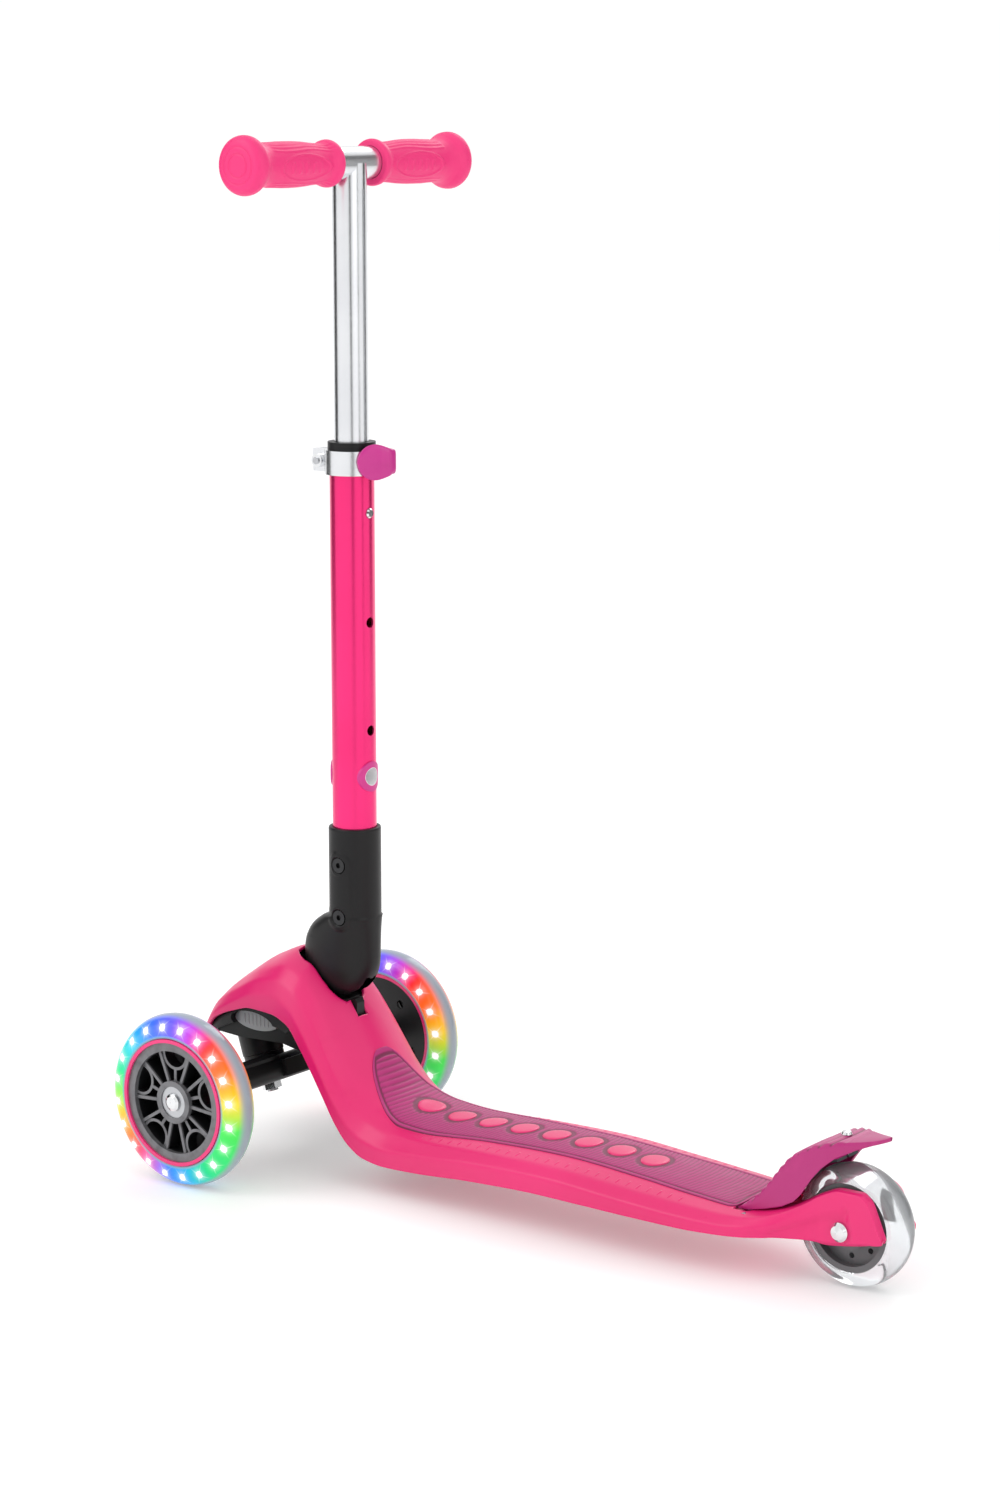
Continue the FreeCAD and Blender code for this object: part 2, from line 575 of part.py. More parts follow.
stem_tools.Shapes = [stem_inside, saddle, snap_way, keyway]
stem = doc.addObject("Part::Cut", "stem")
stem.Base = stem_tube
stem.Tool = stem_tools
NODES.append(stem)

bar_start = COLUMN + Vector(-size("bar_half"), 0, size("bar_height"))
turned("cross_tube", tube_outline(at("bar_radius"), at("bar_bore"), 0.0, 2 * size("bar_half")),
       bar_start, ALONG_X)
grip_start = size("grip_inner_end")
grip_end = size("grip_half")
bulb = size("grip_bulb_radius")
liner_radius = size("bar_radius") + 0.02
grip_outline = [
    (liner_radius, grip_start), (15.2, grip_start), (16.0, 23.2), (16.0, 25.6), (14.2, 27.5),
    (14.8, 36), (13.8, 45), (14.8, 54), (13.8, 63), (14.8, 72), (14.2, 82), (15.4, 88),
    (18.4, 94), (bulb, 100), (18.2, 107), (14.0, grip_end), (0, grip_end), (0, 104.05),
    (liner_radius, 104.05),
]
bar_centre = COLUMN + Z_AXIS * size("bar_height")
turned("grip_left", grip_outline, bar_centre, ALONG_X)
turned("grip_right", grip_outline, bar_centre, ALONG_MINUS_X)
turned("stem_foot_bush", [(11.82, 0), (13.7, 0), (13.7, 9), (11.82, 9)], COLUMN + Z_AXIS * 441.5)

# Snap button in the stem and the V-shaped leaf spring that pushes it out.
snap_at = COLUMN + Z_AXIS * size("button_height")
turned("snap_button", [(0, 7.2), (4.6, 7.2), (4.6, 8.6), (3.4, 8.6), (3.4, 15.6), (2.4, 16.8), (0, 16.8)],
       snap_at, ALONG_Y)
leaf_front = block(Vector(-4, COLUMN_Y - 9.0, 446), Vector(4, COLUMN_Y - 8.0, 470))
leaf_foot = block(Vector(-4, COLUMN_Y - 9.0, 445), Vector(4, COLUMN_Y + 6.9, 446))
leaf_back = block(Vector(-4, COLUMN_Y + 5.9, 446), Vector(4, COLUMN_Y + 6.9, 470))
piece("snap_leaf", leaf_front.multiFuse([leaf_foot, leaf_back]).removeSplitter())

# ---------------------------------------------------- kingpin and front truck
turned("kingpin", [(0, -24.5), (size("kingpin_radius"), -24.5), (size("kingpin_radius"), 30.2), (6.8, 30.2),
                   (6.8, 35.0), (0, 35.0)], KINGPIN, KINGPIN_TURN)
nut_face = Part.Face(Part.makePolygon([
    Vector(7.2 * math.cos(math.radians(60 * corner)), 7.2 * math.sin(math.radians(60 * corner)), 0)
    for corner in range(7)]))
hex_nut = nut_face.extrude(Vector(0, 0, 5.4))
kingpin_nut = hex_nut.cut(Part.makeCylinder(size("kingpin_radius"), 5.4))
kingpin_nut_at = KINGPIN + KINGPIN_TURN.multVec(Vector(0, 0, -22.9))
piece("kingpin_nut", kingpin_nut, Placement(kingpin_nut_at, KINGPIN_TURN))
turned("steering_bush", tube_outline(8.9, 4.3, 4.6, 14.0), KINGPIN, KINGPIN_TURN)


def make_truck():
    """Black cross beam with the hub that turns about the leaning kingpin."""
    hub = Part.makeCylinder(size("hub_radius"), size("hub_top") - size("hub_foot"),
                            Vector(0, 0, size("hub_foot")))
    plate = block(Vector(-17, 0, -14), Vector(17, 35, -2.5))
    bore = Part.makeCylinder(size("axle_bore"), 60, Vector(0, 0, -30))
    for shape in (hub, plate, bore):
        shape.Placement = Placement(KINGPIN, KINGPIN_TURN)
    beam = rod(size("beam_radius"), FRONT_AXLE - X_AXIS * size("beam_half"),
               FRONT_AXLE + X_AXIS * size("beam_half"))
    gussets = []
    for side in (-1, 1):
        gussets.append(block(
            Vector(min(17 * side, 60 * side), back(-4), size("front_wheel_radius") - 8),
            Vector(max(17 * side, 60 * side), back(4), size("front_wheel_radius") + 10.5)))
    truck = hub.multiFuse([plate, beam] + gussets)
    for side in (-1, 1):
        truck = truck.cut(rod(size("axle_radius"), FRONT_AXLE + X_AXIS * side * 62,
                              FRONT_AXLE + X_AXIS * side * 110))
    return truck.cut(bore).removeSplitter()


piece("front_truck", make_truck())

# --------------------------------------------------------------- front wheels
half_width = size("front_tyre_width") / 2


def petal_rim():
    """Grey rim about its own Z: hub, spokes, petal loops, flat band and inner web."""
    band = Part.makeCylinder(size("rim_radius"), 22, Vector(0, 0, -11))
    band = band.cut(Part.makeCylinder(size("rim_bore"), 22, Vector(0, 0, -11)))
    solids = [Part.makeCylinder(15, 22, Vector(0, 0, -11))]
    inside = Part.makeCylinder(size("rim_bore") + 0.5, 22, Vector(0, 0, -11))
    for number in range(5):
        turn = 72 * number
        for lean in (-14, 14):
            spoke = Part.makeBox(26, 2.2, 12, Vector(13, -1.1, -3))
            spoke.rotate(Vector(0, 0, 0), Z_AXIS, turn + lean)
            solids.append(spoke.common(inside))
        loop = Part.makeCylinder(11.5, 9, Vector(34, 0, -1)).cut(Part.makeCylinder(9.5, 9, Vector(34, 0, -1)))
        loop = loop.common(inside)
        loop.rotate(Vector(0, 0, 0), Z_AXIS, turn + 36)
        link = Part.makeBox(10, 2.2, 9, Vector(14, -1.1, -1))
        link.rotate(Vector(0, 0, 0), Z_AXIS, turn + 36)
        solids.extend([loop, link])
    web = Part.makeCylinder(size("rim_bore") + 0.5, 2.0, Vector(0, 0, -9.5))
    for number in range(5):
        angle = math.radians(72 * number + 36)
        web = web.cut(Part.makeCylinder(3.2, 6, Vector(30 * math.cos(angle), 30 * math.sin(angle), -12)))
    solids.append(web)
    rim = band.multiFuse(solids)
    rim = rim.cut(Part.makeCylinder(size("bearing_outer") + 0.02, 8.5, Vector(0, 0, -11)))
    rim = rim.cut(Part.makeCylinder(size("bearing_outer") + 0.02, 8.5, Vector(0, 0, 2.5)))
    return rim.cut(Part.makeCylinder(6.5, 30, Vector(0, 0, -15))).removeSplitter()


def light_rods(radius):
    """Ring of twenty light pipes set in the clear tyre."""
    rods = []
    for number in range(20):
        angle = math.radians(18 * number)
        foot = Vector(52.6 * math.cos(angle), 52.6 * math.sin(angle), -half_width + 1.2)
        rods.append(Part.makeCylinder(radius, 2 * half_width - 2.4, foot))
    return rods


tyre_profile = Part.Wire([
    Part.LineSegment(Vector(50, 0, half_width), Vector(44.52, 0, half_width)).toShape(),
    Part.LineSegment(Vector(44.52, 0, half_width), Vector(44.52, 0, -half_width)).toShape(),
    Part.LineSegment(Vector(44.52, 0, -half_width), Vector(50, 0, -half_width)).toShape(),
    Part.Arc(Vector(50, 0, -half_width), Vector(size("front_wheel_radius"), 0, 0),
             Vector(50, 0, half_width)).toShape()])
clear_tyre = Part.Face(tyre_profile).revolve(Vector(0, 0, 0), Z_AXIS, 360)
clear_tyre = clear_tyre.cut(Part.makeCompound(light_rods(2.3)))
rim_shape = petal_rim()
for name, side, outward in (("left", 1, ALONG_X), ("right", -1, ALONG_MINUS_X)):
    centre = FRONT_AXLE + X_AXIS * side * size("track_half")
    place = Placement(centre, outward)
    piece(f"front_tyre_{name}", clear_tyre.copy(), place)
    piece(f"wheel_lights_{name}", group(light_rods(2.28)), place)
    piece(f"front_rim_{name}", rim_shape.copy(), place)
    turned(f"trim_ring_{name}", tube_outline(at("trim_radius"), at("rim_radius", 0.01), -11.0, 12.6),
           centre, outward)
    bearings = []
    for foot in (-10.2, 3.2):
        ring = Part.makeCylinder(size("bearing_outer"), size("bearing_width"), Vector(0, 0, foot))
        bearings.append(ring.cut(Part.makeCylinder(size("bearing_inner"), 10, Vector(0, 0, foot - 1))))
    piece(f"front_bearings_{name}", group(bearings), place)
    axle_outline = [(0, -49), (4, -49), (4, 10.4), (6.4, 10.4), (6.0, 11.8), (4.2, 12.8), (0, 13.2)]
    turned(f"front_axle_{name}", axle_outline, centre, outward)

# ----------------------------------------------------------------- rear wheel
turned("rear_tyre", [(29.02, -half_width), (31.5, -half_width), (31.5, half_width), (29.02, half_width)],
                   REAR_AXLE, ALONG_X, {1: 12.72})


def make_rear_core():
    """Grey rear core: band, web with lug holes, hub with two bearing seats."""
    band = Part.makeCylinder(size("rear_core_radius"), 22, Vector(0, 0, -11))
    band = band.cut(Part.makeCylinder(25, 22, Vector(0, 0, -11)))
    web = Part.makeCylinder(25.5, 10, Vector(0, 0, -5))
    hub = Part.makeCylinder(14, 23, Vector(0, 0, -11.5))
    core = band.multiFuse([web, hub])
    for number in range(8):
        angle = math.radians(45 * number)
        foot = Vector(19.5 * math.cos(angle), 19.5 * math.sin(angle), -10)
        core = core.cut(Part.makeCylinder(1.9, 20, foot))
    for low in (-11.5, 4.0):
        core = core.cut(Part.makeCylinder(size("bearing_outer") + 0.02, 7.5, Vector(0, 0, low)))
    return core.cut(Part.makeCylinder(6.5, 40, Vector(0, 0, -20))).removeSplitter()


rear_place = Placement(REAR_AXLE, ALONG_X)
piece("rear_core", make_rear_core(), rear_place)
rear_rings = []
for foot in (-11.4, 4.4):
    ring = Part.makeCylinder(size("bearing_outer"), size("bearing_width"), Vector(0, 0, foot))
    rear_rings.append(ring.cut(Part.makeCylinder(size("bearing_inner"), 10, Vector(0, 0, foot - 1))))
piece("rear_bearings", group(rear_rings), rear_place)
turned("rear_axle_bolt", [(0, -24), (4, -24), (4, 19), (6.4, 19), (6.4, 21.4), (4.6, 23.4), (0, 24.4)],
       REAR_AXLE, ALONG_X)
rear_nut = hex_nut.cut(Part.makeCylinder(size("axle_radius"), 5.4))
piece("rear_axle_nut", rear_nut, Placement(REAR_AXLE - X_AXIS * 19, ALONG_MINUS_X))
spacer = Part.makeCylinder(6.4, 2.1, Vector(0, 0, 12.35)).cut(Part.makeCylinder(4.01, 4, Vector(0, 0, 12)))
piece("rear_spacers", group([spacer, spacer.mirror(Vector(0, 0, 0), Z_AXIS)]), rear_place)

# ----------------------------------------------------------------- foot brake
BRAKE_SIDE = [
    (401.6, 44), (402.4, 47), (408, 51), (419, 62.5), (431, 75), (446, 87.5), (460, 94.5), (472, 98),
    (485, 100), (502, 103.5), (502, 100.5), (485, 95.5), (474, 91), (466, 85), (459, 75), (452, 65),
    (445, 58), (425, 48.5), (406, 44),
]
BRAKE_PLAN = [(0, 401.5), (28, 401.5), (29.5, 404), (29, 425), (27.5, 445), (24, 465), (17, 482), (9.5, 495),
              (5, 500.5), (0, 502)]
LINER_INNER = 42.7
LINER_OUTER = 45.0
RIVET = Vector(0, back(466), 96.4)
RIVET_BORE = 1.6


def make_brake():
    """Moulded foot brake: ribbed tread curving up over the wheel, side cheeks."""
    form = prism_x(BRAKE_SIDE, 30).common(plan_prism(BRAKE_PLAN, 30, 110))
    root = rod(4.6, brake_pin_at - X_AXIS * 26, brake_pin_at + X_AXIS * 26)
    neck = block(Vector(-26, back(408.5), 41), Vector(26, back(416), 50))
    brake = form.multiFuse([root, neck])
    arch = rod(LINER_OUTER + 0.02, REAR_AXLE - X_AXIS * 15, REAR_AXLE + X_AXIS * 15)
    brake = brake.cut(arch)
    brake = brake.cut(rod(2.54, brake_pin_at - X_AXIS * 30, brake_pin_at + X_AXIS * 30))
    brake = brake.cut(block(Vector(-6, back(404), 34), Vector(6, back(417.5), 45.8)))
    return brake.cut(rod(RIVET_BORE, RIVET - Z_AXIS * 20, RIVET + Z_AXIS * 20)).removeSplitter()


piece("rear_brake", make_brake())
liner = Part.makeCylinder(LINER_OUTER, 24, Vector(0, 0, -12), Z_AXIS, 54)
liner = liner.cut(Part.makeCylinder(LINER_INNER, 24, Vector(0, 0, -12)))
liner.rotate(Vector(0, 0, 0), Z_AXIS, 100)
liner.Placement = Placement(REAR_AXLE, Rotation(Y_AXIS, Z_AXIS, X_AXIS, "ZXY")).multiply(liner.Placement)
liner = liner.cut(rod(RIVET_BORE, RIVET - Z_AXIS * 20, RIVET + Z_AXIS * 20))
piece("brake_liner", liner)
turned("brake_rivet", [(0, -12), (1.58, -12), (1.58, 1.2), (3.6, 1.2), (2.8, 3.0), (0, 3.6)], RIVET)
turned("brake_hinge_pin", [(0, 0), (2.5, 0), (2.5, 70), (0, 70)], brake_pin_at - X_AXIS * 35, ALONG_X)
spring_place = Placement(brake_pin_at - X_AXIS * 5, ALONG_X)
piece("brake_spring", coil(0.5, 3.3, 10.0, 8, spring_place))

# ------------------------------------------------------------ check and write
doc.recompute()
for item in doc.Objects:
    if "Invalid" in item.State or "Error" in item.State:
        raise RuntimeError(f"{item.Label} did not recompute: {item.State}")
os.makedirs("parts", exist_ok=True)
for node in NODES:
    shape = node.Shape
    if shape.isNull() or not shape.isValid() or not shape.Solids:
        raise RuntimeError(f"{node.Label} has no valid solid")
    shape.exportStep(f"parts/{node.Label}.step")
    print(f"{node.Label}: {len(shape.Solids)} solids, {shape.Volume / 1000:.1f} cm3")
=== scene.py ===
import math

import bmesh
import bpy
import numpy as np
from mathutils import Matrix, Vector


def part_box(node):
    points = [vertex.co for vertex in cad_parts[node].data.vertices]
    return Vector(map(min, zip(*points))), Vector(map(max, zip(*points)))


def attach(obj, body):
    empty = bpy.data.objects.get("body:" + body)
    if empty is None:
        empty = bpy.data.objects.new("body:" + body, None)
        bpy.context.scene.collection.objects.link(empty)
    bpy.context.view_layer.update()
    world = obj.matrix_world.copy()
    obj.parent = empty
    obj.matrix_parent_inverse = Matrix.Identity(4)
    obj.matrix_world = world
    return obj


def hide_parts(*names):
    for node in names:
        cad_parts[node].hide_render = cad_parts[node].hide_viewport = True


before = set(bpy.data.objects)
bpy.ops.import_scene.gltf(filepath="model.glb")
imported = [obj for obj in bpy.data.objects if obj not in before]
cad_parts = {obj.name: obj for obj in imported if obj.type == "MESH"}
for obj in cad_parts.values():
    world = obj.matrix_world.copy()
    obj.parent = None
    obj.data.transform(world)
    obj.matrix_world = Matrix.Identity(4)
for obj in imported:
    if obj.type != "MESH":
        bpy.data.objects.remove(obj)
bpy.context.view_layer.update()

# ---------------------------------------------------------------- studio
# A pale floor that glows faintly, a wide soft box on one side, a fill on the
# other and a rim light behind, with the camera a little above the handlebar.
view_from = Vector((1.7664, 1.3349, 0.7454))
view_to = Vector((0.0, -0.0377, 0.3108))
lens_mm = 82.03

camera_data = bpy.data.cameras.new("studio_camera")
camera_data.lens = lens_mm
camera_data.sensor_width = 36.0
camera = bpy.data.objects.new("studio_camera", camera_data)
camera.location = view_from
camera.rotation_euler = (view_to - view_from).to_track_quat("-Z", "Y").to_euler()
bpy.context.scene.collection.objects.link(camera)
bpy.context.scene.camera = camera

FLOOR_HALF = 12.0
FLOOR_DROP = 0.0004


def set_piece(name, corners, **values):
    """A flat four-cornered studio piece; values set sockets of its plain paint."""
    mesh = bpy.data.meshes.new(name)
    mesh.from_pydata(corners, [], [(0, 1, 2, 3)])
    paint = bpy.data.materials.new(name)
    paint.use_nodes = True
    for key, value in values.items():
        paint.node_tree.nodes["Principled BSDF"].inputs[key.replace("_", " ")].default_value = value
    mesh.materials.append(paint)
    made = bpy.data.objects.new(name, mesh)
    bpy.context.scene.collection.objects.link(made)
    return made


floor_corners = [(x * FLOOR_HALF, y * FLOOR_HALF, -FLOOR_DROP)
                 for x, y in ((-1, -1), (1, -1), (1, 1), (-1, 1))]
set_piece("studio_floor", floor_corners, Base_Color=(0.86, 0.86, 0.86, 1), Roughness=0.9,
          Emission_Color=(1, 1, 1, 1), Emission_Strength=0.22)

world = bpy.data.worlds.new("studio_air")
world.use_nodes = True
world.node_tree.nodes["Background"].inputs["Color"].default_value = (1, 1, 1, 1)
world.node_tree.nodes["Background"].inputs["Strength"].default_value = 1.02
bpy.context.scene.world = world
bpy.context.scene.view_settings.view_transform = "Standard"


def soft_box(name, place, aim, width, height, watts):
    """A rectangular area light that stands at place and faces aim."""
    data = bpy.data.lights.new(name, "AREA")
    data.shape = "RECTANGLE"
    data.size = width
    data.size_y = height
    data.energy = watts
    lamp = bpy.data.objects.new(name, data)
    lamp.location = place
    lamp.rotation_euler = (Vector(aim) - Vector(place)).to_track_quat("-Z", "Y").to_euler()
    bpy.context.scene.collection.objects.link(lamp)


soft_box("key_box", (1.6, -1.2, 1.9), (0, 0, 0.3), 1.2, 1.6, 12)
soft_box("fill_box", (0.6, 2.4, 1.3), (0, 0, 0.3), 1.4, 1.4, 7)
soft_box("rim_box", (-1.8, -0.6, 1.6), (0, 0, 0.35), 0.8, 1.6, 8)

# Black flags stand out of view around it and give tubes their dark edges.
FLAG_REACH, FLAG_TALL = 2.6, Vector((0, 0, 2.4))
for number, (bearing, half_width) in enumerate(((152.0, 0.55), (-78.0, 0.75), (95.0, 0.16), (41.0, 0.3))):
    toward = Vector((math.cos(math.radians(bearing)), math.sin(math.radians(bearing)), 0))
    aside = Vector((-toward.y, toward.x, 0)) * half_width
    left, right = toward * FLAG_REACH - aside, toward * FLAG_REACH + aside
    flag = set_piece(f"studio_flag_{number}", [left, right, right + FLAG_TALL, left + FLAG_TALL],
                     Base_Color=(0.01, 0.01, 0.01, 1), Roughness=1.0)
    flag.visible_camera = False
    flag.visible_shadow = False


# ---------------------------------------------------------------- deck shell
# One nylon moulding from the hood over the front axle, down the neck and along
# the footplate to the two fork arms.  It is a thin wall, open underneath.
MM = 0.001


class Flow:
    """A value on its way between shader nodes; arithmetic on it adds Math nodes."""

    def __init__(self, finish, socket):
        self.finish = finish
        self.socket = socket

    def math(self, operation, *others):
        return self.finish.add("ShaderNodeMath", {"operation": operation}, self, *others)

    def __add__(self, other):
        return self.math("ADD", other)

    __radd__ = __add__

    def __sub__(self, other):
        return self.math("SUBTRACT", other)

    def __rsub__(self, other):
        return self.finish.add("ShaderNodeMath", {"operation": "SUBTRACT"}, other, self)

    def __mul__(self, other):
        return self.math("MULTIPLY", other)

    __rmul__ = __mul__

    def __truediv__(self, other):
        return self.math("DIVIDE", other)

    def __rtruediv__(self, other):
        return self.finish.add("ShaderNodeMath", {"operation": "DIVIDE"}, other, self)

    def bell(self, width):
        """exp(-(value / width) squared), a soft bump that is 1 at zero."""
        scaled = self * (1.0 / width)
        return (0 - scaled * scaled).math("EXPONENT")

    def step(self, low, high):
        """0 below low, 1 above high and an even slope between, held to 0..1."""
        return self.finish.add("ShaderNodeMapRange", {"interpolation_type": "SMOOTHSTEP"},
                               self, low, high, 0, 1)


class Finish:
    """One node material; add() makes any node, and set() feeds the shader."""

    def __init__(self, name):
        self.material = bpy.data.materials.new(name)
        self.material.use_nodes = True
        self.tree = self.material.node_tree
        self.shader = self.tree.nodes["Principled BSDF"]
        self.place = self.add("ShaderNodeTexCoord", {}, out="Object")

    def plug(self, socket, value):
        if isinstance(value, Flow):
            self.tree.links.new(value.socket, socket)
        elif value is not None:
            socket.default_value = value

    def add(self, kind, settings, *values, out=0, named=None):
        node = self.tree.nodes.new(kind)
        for key, setting in settings.items():
            if key == "stops":
                ramp = node.color_ramp
                while len(ramp.elements) < len(setting):
                    ramp.elements.new(0.5)
                for element, (position, colour) in zip(ramp.elements, setting):
                    element.position = position
                    element.color = (*colour, 1)
            else:
                setattr(node, key, setting)
        for index, value in enumerate(values):
            self.plug(node.inputs[index], value)
        for key, value in (named or {}).items():
            self.plug(node.inputs[key], value)
        return Flow(self, node.outputs[out])

    def axis(self, letter):
        return self.add("ShaderNodeSeparateXYZ", {}, self.place, out=letter)

    def noise(self, scale, detail=3.0, stretch=(1, 1, 1)):
        turned = self.add("ShaderNodeMapping", {}, self.place, named={"Scale": stretch})
        return self.add("ShaderNodeTexNoise", {}, turned, named={"Scale": scale, "Detail": detail})

    def between(self, share, first, second):
        """A colour that goes from first to second as share goes from 0 to 1."""
        first, second = (colour if isinstance(colour, Flow) else (*colour, 1) for colour in (first, second))
        return self.add("ShaderNodeMix", {"data_type": "RGBA"}, out=2, named={0: share, 6: first, 7: second})

    def bump(self, height, millimetres, strength=1.0):
        return self.add("ShaderNodeBump", {}, named={
            "Height": height, "Distance": millimetres * MM, "Strength": strength})

    def set(self, **sockets):
        for key, value in sockets.items():
            socket = self.shader.inputs[key.replace("_", " ").title().replace("Ior", "IOR")]
            self.plug(socket, (*value, 1) if isinstance(value, tuple) and len(value) == 3 else value)
        return self.material


def moulded(name, colour, deep, roughness, grain_mm=0.05, coat=0.0, gloss_spread=0.12, ior=1.48):
    """Injection-moulded plastic: slight flow mottling, fine spark-eroded grain."""
    finish = Finish(name)
    cloud = finish.noise(9.0, 4.0)
    handling = finish.noise(46.0, 5.0, (1, 1, 1.6))
    grain = finish.noise(2600.0, 2.0)
    share = cloud.step(0.35, 0.75) * 0.55 + handling.step(0.55, 0.8) * 0.2
    polish = roughness + (handling - 0.5) * gloss_spread
    height = grain * 0.6 + handling * 0.4
    return finish.set(base_color=finish.between(share, colour, deep), roughness=polish,
                      normal=finish.bump(height, grain_mm, 0.35), ior=ior, coat_weight=coat,
                      coat_roughness=0.18)


PINK = (0.80, 0.013, 0.165)
PINK_DEEP = (0.70, 0.006, 0.13)
shell_pink = moulded("satin_pink_nylon", PINK, PINK_DEEP, 0.36, coat=0.12)


def centre(node):
    """Middle of a CAD node's box, in millimetres."""
    low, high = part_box(node)
    return (low + high) / 2 / MM


_, front_y, front_z = centre("front_axle_left")
_, rear_y, rear_z = centre("rear_axle_bolt")

# Distance behind the front axle, then half width and height of the lower rim,
# of the side crease and of the shoulder, then the crest height.
DECK_STATIONS = np.array([
    (-58.6, 7, 78, 8, 79.5, 5, 81, 82), (-58, 16, 76.5, 18, 79, 11, 83, 85.5),
    (-50, 33, 84, 34, 88, 22, 97, 102), (-38, 39, 96, 38, 101, 25, 112, 117),
    (-20, 41, 104, 40, 111, 26, 125, 131.5), (0, 42, 109, 40.5, 119, 27, 136, 144),
    (20, 43, 108, 41.5, 121, 28.5, 141, 151), (35, 44, 103, 43, 115, 30, 137, 148),
    (48, 46, 90, 45, 103, 31, 125, 136), (60, 47.5, 75, 46.5, 88, 32, 109, 120),
    (72, 48.5, 58, 48, 71, 33, 91, 103), (84, 49.5, 41, 49, 55, 33, 75, 87),
    (96, 50, 29, 50.5, 43, 33, 62, 73), (110, 51, 22.5, 51.5, 36, 32.5, 53.5, 60.5),
    (128, 51.5, 20.5, 52.7, 33.5, 32, 48.5, 53), (155, 52, 21.5, 53.5, 35.5, 31.5, 47, 50.5),
    (205, 52, 25.5, 54, 40, 31.5, 49, 52), (265, 52, 28, 54, 42, 31.5, 50, 53),
    (325, 51.5, 28, 53.2, 39, 31.5, 47.5, 50.5), (370, 50, 28, 51.2, 36.8, 31, 45, 47.5),
    (400, 46.8, 28.8, 47.8, 36, 30.2, 43.6, 45.6), (416, 43.5, 29.6, 44.6, 37, 30.4, 44.2, 46),
    (428, 38, 30.2, 39, 38.8, 29, 46.4, 47.6), (440, 29.6, 29.2, 30.6, 42.5, 25, 50.6, 51.4),
    (451, 23.2, 28, 23.8, 49, 20.6, 56.6, 57.2), (460, 21, 27, 21.2, 56, 18.6, 62, 62.4),
    (474, 21, 28.8, 21, 62, 18.4, 67, 67.3), (488, 21, 31.6, 21, 62.4, 18.4, 67.2, 67.5),
    (495, 21, 33.4, 21, 58, 18.4, 62.6, 62.9), (499.5, 21, 34.8, 21, 49.5, 18.4, 53.4, 53.7),
    (503, 21, 36.2, 21, 42.4, 18.6, 45.2, 45.5), (505.6, 20.6, 37.4, 20.6, 38.6, 19, 39.4, 39.5),
])
# The knuckle's slot in the neck: distances behind the axle and half widths.
SLOT_PLAN = ([18.9, 24, 30, 46, 52, 56, 59, 61, 70], [11, 16, 18.6, 18.6, 17.4, 14.8, 11.2, 7.6, 17])
NUB_HALF = 5.5
WHEEL_SLOT_HALF = 14.5
WALL = 2.4


def flowing(where, known, values):
    """Smooth curve through rows of values with no overshoot: cubic pieces whose
    slope at each row is the harmonic mean of the slopes on both sides of it."""
    gap = np.diff(known)[:, None]
    rise = np.diff(values, axis=0) / gap
    before, after = rise[:-1], rise[1:]
    same = before * after > 0
    first, second = 2 * gap[1:] + gap[:-1], gap[1:] + 2 * gap[:-1]
    safe_before, safe_after = np.where(same, before, 1), np.where(same, after, 1)
    mean = np.where(same, (first + second) / (first / safe_before + second / safe_after), 0)
    slope = np.vstack([rise[:1], mean, rise[-1:]])
    spot = np.clip(np.searchsorted(known, where) - 1, 0, len(known) - 2)
    span = gap[spot]
    share = ((where - known[spot])[:, None]) / span
    near, far = values[spot], values[spot + 1]
    square, cube = share ** 2, share ** 3
    return ((2 * cube - 3 * square + 1) * near + (cube - 2 * square + share) * span * slope[spot]
            + (3 * square - 2 * cube) * far + (cube - square) * span * slope[spot + 1])


def deck_sizes(behind):
    """The seven section sizes at distances behind the front axle."""
    return flowing(behind, DECK_STATIONS[:, 0], DECK_STATIONS[:, 1:]).T


def crown(across, behind):
    """Height of the top of the deck: a parabola from the crest to the shoulder."""
    low_w, low_z, mid_w, mid_z, top_w, top_z, crest = deck_sizes(behind.ravel())
    shape = behind.shape
    top_w, top_z, crest = top_w.reshape(shape), top_z.reshape(shape), crest.reshape(shape)
    return crest - (crest - top_z) * (across / top_w) ** 2


GIRTH = np.array([0, 7, 13, 20, 27, 34, 40, 42.2, 44.8, 48, 53.4, 59.6, 66.5, 69.5, 72.0])
HALF_GIRTH = GIRTH[-1]


